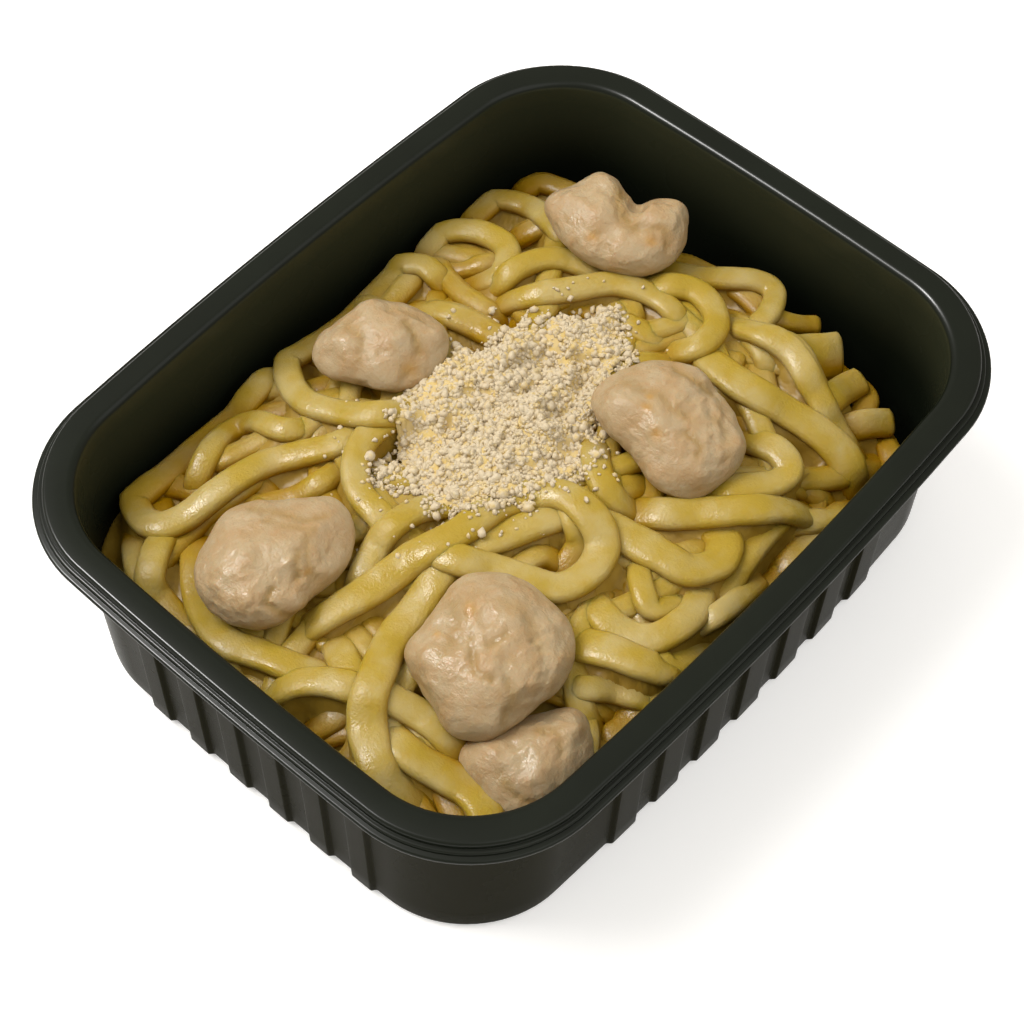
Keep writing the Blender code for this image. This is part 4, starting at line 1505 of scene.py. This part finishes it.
@dataclass(frozen=True)
class Lump:
    """A soft bump, or a dent if its height is below 0, on a chunk's upper side."""

    right: float
    back: float
    reach: float
    height: float


@dataclass(frozen=True)
class Crease:
    """A soft furrow along a short line on a chunk's upper side."""

    points: tuple[tuple[float, float], ...]
    reach: float
    depth: float


@dataclass(frozen=True)
class Chunk:
    """One chunk: its centre, half thickness, reach round it, and the relief it carries.

    The relief's places are in mm to the right of the centre and to the back of it.
    """

    name: str
    node: str
    centre: tuple[float, float, float]
    thickness: float
    reach: tuple[float, ...]
    lumps: tuple[Lump, ...] = ()
    creases: tuple[Crease, ...] = ()
    spots: tuple[tuple[float, float, float], ...] = ()


CHUNKS: tuple[Chunk, ...] = (
    Chunk(
        "chicken_at_the_back", "chicken_back", (60.7, 24.4, 44.8), 8.5,
        (17.0, 16.5, 9.0, 9.0, 12.5, 14.1, 14.6, 17.7, 14.6, 12.3, 11.1, 10.8, 11.3, 12.7, 15.1, 16.5),
        (Lump(-3.3, 11.5, 3.0, 1.2), Lump(5.5, 4.7, 2.2, -1.8), Lump(14.5, 4.0, 2.6, 1.0),
         Lump(11.6, 0.5, 2.6, 1.1), Lump(-8.9, 3.6, 4.0, 0.9), Lump(3.8, -7.0, 3.4, 0.9),
         Lump(-1.5, -1.5, 3.0, -0.7)),
        (Crease(((1.2, 8.0), (0.7, 4.9), (2.6, 2.0), (4.4, -0.2)), 1.3, 1.6),
         Crease(((6.9, -0.7), (10.7, -1.4), (12.0, -5.3)), 0.7, 1.0),
         Crease(((-12.0, 2.0), (-6.0, -1.0), (-2.0, -6.0)), 0.9, 0.7)),
        ((8.0, -4.0, 1.5), (-6.0, -3.0, 1.2))),
    Chunk(
        "chicken_at_the_left", "chicken_left", (-0.9, 40.8, 44.4), 8.0,
        (14.7, 13.8, 11.9, 10.8, 10.5, 11.2, 11.2, 12.8, 16.9, 16.0, 12.1, 10.1, 10.3, 11.5, 12.6, 13.8),
        (Lump(-3.0, 8.5, 3.2, 0.9), Lump(12.0, 2.4, 2.3, 0.9), Lump(6.2, -6.0, 3.0, -1.2),
         Lump(-1.0, -7.5, 3.2, 0.9), Lump(-9.0, -1.0, 4.0, 0.7), Lump(3.0, 2.0, 3.5, 0.8)),
        (Crease(((4.8, 5.0), (7.0, 2.0), (8.5, -1.5)), 0.8, 1.1),
         Crease(((-8.0, 4.0), (-5.0, 1.0), (-5.5, -4.0)), 0.9, 0.7),
         Crease(((1.0, 8.5), (5.0, 7.5), (9.0, 6.0)), 0.6, 0.6)),
        ((6.2, -6.0, 2.2),)),
    Chunk(
        "chicken_at_the_right", "chicken_right", (23.0, -23.3, 46.6), 9.0,
        (16.2, 14.9, 14.2, 15.6, 15.8, 16.4, 17.6, 18.4, 14.0, 10.5, 10.0, 12.0, 14.6, 16.7, 16.9, 17.6),
        (Lump(-10.0, 5.5, 3.2, 0.9), Lump(-3.0, 0.0, 3.4, 1.0), Lump(1.5, -9.0, 3.8, 1.1),
         Lump(8.0, 11.0, 3.0, 0.8), Lump(9.3, -1.9, 0.7, -0.5), Lump(14.5, -4.0, 2.6, 1.0),
         Lump(-3.2, -1.3, 0.8, -0.4), Lump(4.0, 5.0, 3.5, -0.6), Lump(9.0, -9.5, 3.0, 0.7)),
        (Crease(((1.5, 14.4), (4.4, 11.9), (10.0, 8.3)), 0.6, 1.2),
         Crease(((3.6, -0.8), (6.4, -3.6), (5.9, -5.8)), 0.7, 1.0),
         Crease(((-9.0, 10.0), (-2.0, 7.0), (3.0, 3.0)), 1.0, 0.7),
         Crease(((9.5, 3.0), (12.0, 0.0), (12.5, -6.0)), 0.7, 0.6)),
        ((-5.1, 4.4, 1.3), (-3.2, -1.3, 1.4), (-4.4, 7.0, 0.9))),
    Chunk(
        "chicken_near_the_left", "chicken_near_left", (-59.3, 17.5, 45.4), 9.5,
        (16.1, 18.7, 18.9, 15.0, 13.3, 14.6, 15.7, 15.3, 17.0, 17.2, 16.3, 15.0, 13.8, 12.0, 11.2, 12.9),
        (Lump(4.9, -7.7, 2.6, 1.2), Lump(12.0, 5.0, 5.0, -1.2), Lump(-6.0, 1.0, 6.0, 0.9),
         Lump(-4.0, -8.0, 3.0, 0.7), Lump(4.0, 2.0, 3.0, 0.5), Lump(14.0, 11.0, 2.5, 0.6)),
        (Crease(((0.6, -5.3), (-0.4, -8.5), (3.0, -10.8), (6.8, -10.6)), 0.7, 1.2),
         Crease(((5.8, 2.6), (5.6, 0.0), (6.2, -3.2)), 0.7, 1.0),
         Crease(((-5.3, 12.0), (0.0, 11.2), (6.0, 10.0), (11.0, 10.4)), 0.6, 0.9),
         Crease(((-2.0, 9.6), (4.0, 8.2), (9.0, 7.6)), 0.6, 0.7),
         Crease(((7.5, 6.5), (8.0, 1.0), (10.0, -4.0)), 0.8, 0.8)),
        ((8.0, -2.0, 1.0),)),
    Chunk(
        "chicken_in_front", "chicken_near", (-45.6, -31.8, 45.2), 9.7,
        (18.0, 18.2, 17.0, 17.2, 17.8, 17.0, 14.9, 15.3, 17.6, 16.3, 16.1, 18.2, 17.0, 15.3, 14.7, 16.6),
        (Lump(0.2, -1.7, 2.7, 1.1), Lump(-2.1, -8.0, 4.0, 1.2), Lump(-1.1, -14.5, 3.5, 1.1),
         Lump(9.3, 3.4, 0.6, -0.5), Lump(-3.4, 9.5, 2.2, 0.7), Lump(-10.0, -2.0, 4.5, 0.8),
         Lump(7.0, -6.0, 4.0, 0.7), Lump(6.0, 9.0, 4.5, 0.6), Lump(-6.5, 3.5, 2.6, -0.6)),
        (Crease(((-3.0, 0.6), (-2.6, -2.4), (-1.3, -3.9), (0.6, -4.6)), 0.6, 1.1),
         Crease(((-3.8, 4.4), (-3.4, 1.6), (-3.2, 0.2)), 0.6, 0.9),
         Crease(((3.8, 4.6), (2.0, 3.4), (0.2, 2.4)), 0.6, 0.9),
         Crease(((-17.5, -3.8), (-15.5, -7.0), (-13.3, -11.8)), 2.0, 1.8),
         Crease(((-8.0, 11.0), (-7.0, 6.0), (-9.0, 1.0)), 1.0, 0.8),
         Crease(((3.0, 11.0), (8.0, 8.0), (11.0, 2.0)), 1.0, 0.6),
         Crease(((4.0, -5.0), (5.0, -9.0), (3.0, -13.0)), 0.9, 0.8)),
        ((-3.4, 9.3, 1.6), (-10.5, 4.5, 0.8))),
    Chunk(
        "chicken_low_in_front", "chicken_near_low", (-54.6, -51.0, 36.8), 8.0,
        (13.7, 14.3, 13.5, 10.0, 8.5, 8.5, 9.5, 12.0, 14.4, 12.4, 12.0, 12.8, 12.4, 11.6, 11.3, 12.4),
        (Lump(9.0, 6.0, 3.0, 1.0), Lump(-4.0, -7.0, 2.2, -0.6), Lump(-8.0, 0.0, 3.5, 0.8),
         Lump(3.0, -3.0, 3.5, 0.6)),
        (Crease(((2.0, 6.2), (5.9, 5.6), (7.0, 2.0)), 0.7, 0.9),
         Crease(((-6.0, -3.0), (-3.0, -7.0), (1.0, -9.0)), 0.9, 0.9))),
)


@dataclass
class Chicken:
    """Maker of the chunks: each a full lump whose outline and relief are its own.

    A chunk's broad side is planned square to the line of sight, which the turn and the slope
    give, and the tip leans it back a little.
    """

    turn: float = math.radians(48.0)
    slope: float = math.radians(56.5)
    tip: float = 0.21
    rows: int = 112
    columns: int = 224
    fullness: float = 0.78
    flats: int = 7
    crease_share: float = 0.42
    lump_share: float = 1.2
    shade_share: float = 0.9

    def axes(self) -> tuple[Array, Array, Array]:
        """To the right, to the back over the broad side, and the way that a chunk bulges.

        Returns:
            The three directions.
        """
        up = np.array((0.0, 0.0, 1.0))
        across = np.array((math.cos(self.turn), -math.sin(self.turn), 0.0))
        away = np.array((math.sin(self.turn), math.cos(self.turn), 0.0))
        bulge = math.sin(self.slope) * up - math.cos(self.slope) * away
        back = away + self.tip * up
        return across, back / (back @ np.cross(bulge, across)), bulge

    def with_flats(self, points: Array, chunk: Chunk, bulge: Array, seed: int) -> Array:
        """Press soft flats into the upper side, as where the meat was torn or cut.

        A flat lies across a random direction d near the bulge. Points whose height along d
        exceeds the flat's own by e are moved back by most of e.

        Args:
            points: the chunk's grid of points.
            chunk: its sizes.
            bulge: the way that it bulges.
            seed: picks the directions.

        Returns:
            The moved points.
        """
        draw = np.random.default_rng(seed)
        centre = np.array(chunk.centre)
        for _ in range(self.flats):
            aim = bulge + draw.normal(0.0, 0.62, 3)
            aim /= np.linalg.norm(aim)
            height = (points - centre) @ aim
            over = height - (height.max() - draw.uniform(0.4, 1.1))
            over = 0.5 * (over + np.sqrt(over ** 2 + 0.6))
            points = points - 0.65 * over[..., None] * aim
        return points

    def marks(self, chunk: Chunk, right: Array, away: Array, upper: Array) -> tuple[Array, Array, Array]:
        """Work out what the lumps, creases and spots do at each point.

        Each fades with the distance d from its middle as e to the power -(d / reach) squared.

        Args:
            chunk: its lumps, creases and spots.
            right: how far to the right each point lies.
            away: how far back it lies.
            upper: 1 on the upper side and 0 on the lower.

        Returns:
            The height that they add, the share of painted shade in the creases and the share of spot
            colour.
        """
        height, crease_share, spot_share = np.zeros((3, *right.shape))
        for lump in chunk.lumps:
            gap = ((right - lump.right) ** 2 + (away - lump.back) ** 2) / lump.reach ** 2
            height += lump.height * np.exp(-gap) * upper
        for crease in chunk.creases:
            path = smooth_route(crease.points, 0.3)
            gap = np.min([(right - x) ** 2 + (away - y) ** 2 for x, y in path], axis=0)
            mark = np.exp(-gap / (1.5 * crease.reach) ** 2) * upper
            height -= self.crease_share * crease.depth * mark
            # Painted shade along the crease.
            crease_share = np.maximum(crease_share, mark * min(1.0, crease.depth / 1.2))
        for x, y, reach in chunk.spots:
            gap = ((right - x) ** 2 + (away - y) ** 2) / reach ** 2
            spot_share = np.maximum(spot_share, np.exp(-gap) * upper)
        return height, crease_share, spot_share

    def skin(self, points: Array, seed: int) -> Array:
        """Height of the folds, wrinkles and fine bumps that cover a chunk.

        Args:
            points: the chunk's grid of points.
            seed: picks its unevenness.

        Returns:
            A height for each point.
        """
        folds, ridges, bumps = (
            layered_noise(points.reshape(-1, 3), size, start + seed, 2).reshape(points.shape[:2])
            for size, start in ((6.6, 700), (4.2, 900), (1.9, 800)))
        return 0.78 * folds + 0.24 * (1.0 - 2.0 * np.abs(ridges)) + 0.20 * bumps

    def build(self, chunk: Chunk, seed: int, meat: bpy.types.Material) -> bpy.types.Object:
        """Make one chunk.

        A point at angle a round the lump and tilt t is the reach in direction a times
        cos(t) in the broad plane, and the thickness times sin(t) along the bulge, both
        raised to a power below 1 for a fuller body. Relief then moves it along its normal.

        Args:
            chunk: its sizes and marks.
            seed: picks its unevenness.
            meat: its finish.

        Returns:
            The object.
        """
        across, back, bulge = self.axes()
        centre = np.array(chunk.centre)
        tilt = np.linspace(-math.pi / 2, math.pi / 2, self.rows + 2)[1:-1]
        angle = np.arange(self.columns) * 2 * math.pi / self.columns
        radius = around(chunk.reach, angle)
        flat = np.cos(tilt) ** self.fullness
        rise = np.sign(tilt) * np.abs(np.sin(tilt)) ** (1.0 / self.fullness) * chunk.thickness
        right = flat[:, None] * (radius * np.cos(angle))[None, :]
        away = flat[:, None] * (radius * np.sin(angle))[None, :]
        points = centre + right[..., None] * across + away[..., None] * back + rise[:, None, None] * bulge
        normal = grid_normals(points, True)
        if float(np.mean(np.sum(normal * (points - centre), axis=2))) < 0.0:
            normal = -normal
        upper = smooth_step(0.5 + rise[:, None] / chunk.thickness)
        height, crease_share, spot_share = self.marks(chunk, right, away, upper)
        from_rim = 0.35 + 0.65 * smooth_step(np.abs(rise)[:, None] / (0.7 * chunk.thickness))
        relief = self.lump_share * height + from_rim * self.skin(points, seed)
        points = self.with_flats(points + relief[..., None] * normal, chunk, bulge, 60 + seed)
        outward = grid_normals(points, True)
        # Painted shade on the sides turned from the light, carried in the crease value.
        facing = np.sign(np.sum(outward * normal, axis=2).mean()) * (outward @ TOWARDS_LIGHT)
        crease_share = np.maximum(crease_share, self.shade_share * smooth_step(0.30 - facing))
        poles = points[[0, -1]].mean(axis=1)
        mould = Mould()
        mould.add(
            np.vstack((points.reshape(-1, 3), poles)), capped_tube(self.rows, self.columns, False),
            crease=np.append(crease_share, (0.0, 0.0)), spot=np.append(spot_share, (0.0, 0.0)))
        return mould.pour(chunk.name, meat)


# The cheese


@dataclass
class Cheese:
    """The grated cheese: a lumpy body under thousands of separate crumbs."""

    relief: Relief
    centre: tuple[float, float] = (6.9, 6.3)
    reach: tuple[float, ...] = (33.5, 26.0, 22.5, 22.0, 23.5, 29.0, 34.0, 27.5, 21.5, 19.5, 17.0, 24.0)
    rise: float = 5.0
    crumbs: int = 9300
    loose: int = 150
    clumps: int = 1100
    body_pitch: float = 0.5
    body_reach: float = 36.0
    seed: int = 11

    def level(self, plan: Array) -> Array:
        """How far out a plan point lies in the heap: 0 in the middle and 1 on its edge."""
        x, y = (plan - np.array(self.centre)).T
        return np.hypot(x, y) / around(self.reach, np.arctan2(y, x))

    def ragged_level(self, plan: Array) -> Array:
        """The level with an uneven edge: tongues and bays a few millimetres deep."""
        return self.level(plan) + 0.13 * plan_noise(plan, 9.0, 21, 2) + 0.05 * plan_noise(plan, 2.6, 23)

    def pile(self, plan: Array) -> Array:
        """Thickness of the cheese: the rise times (1 less the level squared) to 0.7, with clumps.

        Args:
            plan: plan points, one to a row.

        Returns:
            A thickness for each.
        """
        clumps = 0.95 * plan_noise(plan, 4.5, 31, 3) + 0.45 * plan_noise(plan, 1.3, 35)
        body = self.rise * np.clip(1.0 - self.ragged_level(plan) ** 2, 0.0, 1.0) ** 0.7
        return body * (0.85 + 0.4 * clumps)

    def bed(self, plan: Array) -> Array:
        """Height that the cheese lies on: the noodles' surface, softened where it dips."""
        ground = Relief(heights=blurred(self.relief.heights, 2.0, 30))
        return np.maximum(ground.read(plan), self.relief.read(plan) - 1.0)

    def crumb_form(self) -> tuple[Array, Array]:
        """Corners and triangles of an icosahedron, the form that every crumb starts from.

        Returns:
            Twelve corners on the unit ball, and twenty triangles.
        """
        golden = (1 + math.sqrt(5)) / 2
        corners = []
        for one in (-1.0, 1.0):
            for two in (-golden, golden):
                corners += [(0.0, one, two), (one, two, 0.0), (two, 0.0, one)]
        points = np.array(corners)
        points /= np.linalg.norm(points[0])
        near = np.linalg.norm(points[:, None] - points[None, :], axis=2) < 1.2
        faces = []
        for a, b, c in combinations(range(12), 3):
            if near[a, b] and near[b, c] and near[a, c]:
                outward = np.cross(points[b] - points[a], points[c] - points[a]) @ points[a]
                faces.append((a, b, c) if outward > 0 else (a, c, b))
        return points, np.array(faces)

    def build_body(self, material: bpy.types.Material) -> bpy.types.Object:
        """Make the body: a grid over the heap whose cells outside the cheese are left out.

        Args:
            material: the cheese's finish.

        Returns:
            The object.
        """
        span = np.arange(-self.body_reach, self.body_reach, self.body_pitch)
        x, y = np.meshgrid(span + self.centre[0], span + self.centre[1])
        plan = np.column_stack((x.ravel(), y.ravel()))
        pile = self.pile(plan)
        height = self.bed(plan) + pile - 0.05
        faces = grid_quads(len(span), len(span), False)
        kept = faces[np.all(pile[faces] > 0.5, axis=1)]
        used = np.unique(kept)
        number = np.zeros(len(plan), dtype=np.int64)
        number[used] = np.arange(len(used))
        mould = Mould()
        # under: painted shade of the gaps between crumbs, on the whole body.
        mould.add(np.column_stack((plan, height))[used], (number[kept],), under=np.full(len(used), 0.75))
        return mould.pour("grated_cheese_body", material)

    def build_crumbs(self, material: bpy.types.Material) -> bpy.types.Object:
        """Make the crumbs: random places in the heap, each crumb stretched, turned and bent.

        Args:
            material: the cheese's finish.

        Returns:
            The object.
        """
        draw = np.random.default_rng(self.seed)
        plan, pile = self.places(draw)
        count = len(plan)
        form, faces = self.crumb_form()
        size = np.clip(draw.lognormal(math.log(0.46), 0.34, count), 0.2, 1.05)
        covered = pile > 0.05
        base = np.where(covered, self.bed(plan) - 0.5, self.relief.read(plan))
        height = base + pile + 0.35 * size + draw.uniform(-0.2, 0.35, count) * covered
        turn = random_turns(draw, count)
        stretch = draw.uniform(0.60, 1.50, (count, 1, 3))
        dents = 1.0 + draw.uniform(-0.36, 0.36, (count, 12, 1))
        local = form[None] * stretch * dents * size[:, None, None]
        points = np.einsum("nij,nkj->nki", turn, local)
        points += np.column_stack((plan, height))[:, None, :]
        numbers = faces[None] + (np.arange(count) * 12)[:, None, None]
        mould = Mould()
        mould.add(points.reshape(-1, 3), (numbers.reshape(-1, 3),))
        return mould.pour("grated_cheese_crumbs", material)

    def places(self, draw: np.random.Generator) -> tuple[Array, Array]:
        """Scatter the crumbs: most over the heap, half of them in clumps, and some outside it.

        Args:
            draw: the source of the random numbers.

        Returns:
            The plan place of each crumb, and how deep the cheese is piled there.
        """
        wide = draw.uniform(-40.0, 40.0, (self.crumbs * 6, 2)) + np.array(self.centre)
        level = self.ragged_level(wide)
        chance = np.clip(1.35 - level, 0.0, 1.0) * (level < 1.10)
        kept = wide[draw.uniform(0.0, 1.0, len(wide)) < chance][:self.crumbs]
        clumped = np.arange(len(kept)) % 2 > 0
        owners = kept[draw.integers(0, self.clumps, len(kept))]
        kept = np.where(clumped[:, None], owners + draw.normal(0.0, 0.85, kept.shape), kept)
        far = draw.normal(0.0, 1.0, (self.loose * 4, 2)) * 22.0 + np.array(self.centre)
        outside = far[(self.level(far) > 1.0) & (self.level(far) < 1.6)][:self.loose]
        return np.vstack((kept, outside)), np.concatenate((self.pile(kept), np.zeros(len(outside))))


def random_turns(draw: np.random.Generator, count: int) -> Array:
    """Rotation matrices spread evenly over all directions, from random unit quaternions.

    Args:
        draw: the source of the random numbers.
        count: how many.

    Returns:
        One 3 by 3 matrix for each.
    """
    quaternion = draw.normal(size=(count, 4))
    quaternion /= np.linalg.norm(quaternion, axis=1, keepdims=True)
    w, x, y, z = quaternion.T
    rows = (
        (1 - 2 * (y * y + z * z), 2 * (x * y - w * z), 2 * (x * z + w * y)),
        (2 * (x * y + w * z), 1 - 2 * (x * x + z * z), 2 * (y * z - w * x)),
        (2 * (x * z - w * y), 2 * (y * z + w * x), 1 - 2 * (x * x + y * y)))
    return np.stack([np.stack(row, -1) for row in rows], 1)


# The studio


@dataclass(frozen=True)
class Lamp:
    """A square soft light: its place in metres to the right, up and towards the viewer, and
    the rays that it is hidden from, if any."""

    name: str
    place: tuple[float, float, float]
    size: float
    watts: float
    colour: Colour
    hidden_from: str = ""


LAMPS: tuple[Lamp, ...] = (
    Lamp("key", (-1.10, 1.75, -0.25), 1.30, 40.0, (1.0, 0.975, 0.945), "visible_glossy"),
    Lamp("glint", (-1.10, 1.75, -0.25), 0.34, 95.0, (1.0, 0.98, 0.97), "visible_diffuse"),
    Lamp("fill", (0.90, 1.75, 0.60), 1.8, 13.0, (0.97, 0.98, 1.0)),
)


@dataclass(frozen=True)
class Studio:
    """Floor, lights and camera."""

    lens: float = 82.02
    camera_place: tuple[float, float, float] = (-223.56, -198.65, 468.02)
    camera_elevation: float = 56.515
    camera_azimuth: float = 48.014
    sky: tuple[float, float, float, float] = (1.0, 0.945, 0.85, 1.0)
    sky_strength: float = 0.63
    floor_half: float = 4000.0

    def sight(self) -> tuple[Vector, Vector, Vector]:
        """The camera's directions to the right, up and back.

        Returns:
            The three directions.
        """
        rise, turn = math.radians(self.camera_elevation), math.radians(self.camera_azimuth)
        back = Vector((
            -math.sin(turn) * math.cos(rise), -math.cos(turn) * math.cos(rise), math.sin(rise)))
        right = Vector((math.cos(turn), -math.sin(turn), 0.0))
        return right, back.cross(right), back

    def camera(self) -> None:
        """Place the camera at the photograph's angle."""
        right, up, back = self.sight()
        data = bpy.data.cameras.new("camera")
        data.lens = self.lens
        data.sensor_width = 36.0
        thing = bpy.data.objects.new("camera", data)
        turned = Matrix((right, up, back)).transposed().to_4x4()
        turned.translation = Vector(self.camera_place) * MM
        thing.matrix_world = turned
        bpy.context.scene.collection.objects.link(thing)
        bpy.context.scene.camera = thing

    def light(self, lamp: Lamp) -> None:
        """Hang one lamp, facing the tray.

        Args:
            lamp: its place, size and strength.
        """
        right, _, back = self.sight()
        to_viewer = Vector((back.x, back.y, 0.0)).normalized()
        aside, up, forward = lamp.place
        place = aside * right + up * Vector((0.0, 0.0, 1.0)) + forward * to_viewer
        data = bpy.data.lights.new(lamp.name, "AREA")
        data.size = lamp.size
        data.energy = lamp.watts
        data.color = lamp.colour
        thing = bpy.data.objects.new(lamp.name, data)
        thing.location = place
        thing.rotation_euler = (Vector((0.0, 0.0, 0.03)) - place).to_track_quat("-Z", "Y").to_euler()
        if lamp.hidden_from:
            setattr(thing, lamp.hidden_from, False)
        bpy.context.scene.collection.objects.link(thing)

    def floor(self) -> None:
        """Lay the plain pale floor."""
        step = np.linspace(-self.floor_half, self.floor_half, 3)
        x, y = np.meshgrid(step, step)
        mould = Mould()
        mould.add(np.column_stack((x.ravel(), y.ravel(), np.zeros(9))), (grid_quads(3, 3, False),))
        mould.pour("studio_floor", StudioPaper().material())

    def build(self) -> None:
        """Set up the whole studio."""
        self.floor()
        self.camera()
        for lamp in LAMPS:
            self.light(lamp)
        world = bpy.data.worlds.new("studio")
        world.use_nodes = True
        shade = world.node_tree.nodes["Background"]
        shade.inputs["Color"].default_value = self.sky
        shade.inputs["Strength"].default_value = self.sky_strength
        bpy.context.scene.world = world
        view = bpy.context.scene.view_settings
        view.view_transform = "Standard"
        view.look = "None"
        view.exposure = 0.0
        view.gamma = 1.0


def present(thing: bpy.types.Object, slot: str, *nodes: str) -> None:
    """Hand one piece to the frame, and log it.

    Args:
        thing: the piece.
        slot: not used.
        nodes: the solids that it stands for.
    """
    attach(thing, "root")
    if nodes:
        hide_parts(*nodes)
    stands_for = ", ".join(nodes) or "no solid"
    LOG.info("%s: %d faces, for %s", thing.name, len(thing.data.polygons), stands_for)


def main() -> None:
    """Build every piece of the part, then the studio."""
    logging.basicConfig(level=logging.INFO, format="%(name)s: %(message)s")
    tray = Tray()
    present(tray.build(), "tray_plastic", "tray")
    noodles = NoodleHeap(tray, Heap())
    present(noodles.build(), "sauced_pasta", "noodles")
    present(noodles.build_bed(), "sauced_pasta")
    meat = ChickenMeat().material()
    chicken = Chicken()
    for seed, chunk in enumerate(CHUNKS):
        present(chicken.build(chunk, seed, meat), "chicken_meat", chunk.node)
    cheese = Cheese(noodles.relief)
    grated = GratedCheese().material()
    present(cheese.build_crumbs(grated), "grated_cheese", "cheese")
    present(cheese.build_body(grated), "grated_cheese")
    Studio().build()


if __name__ == "__main__":
    main()
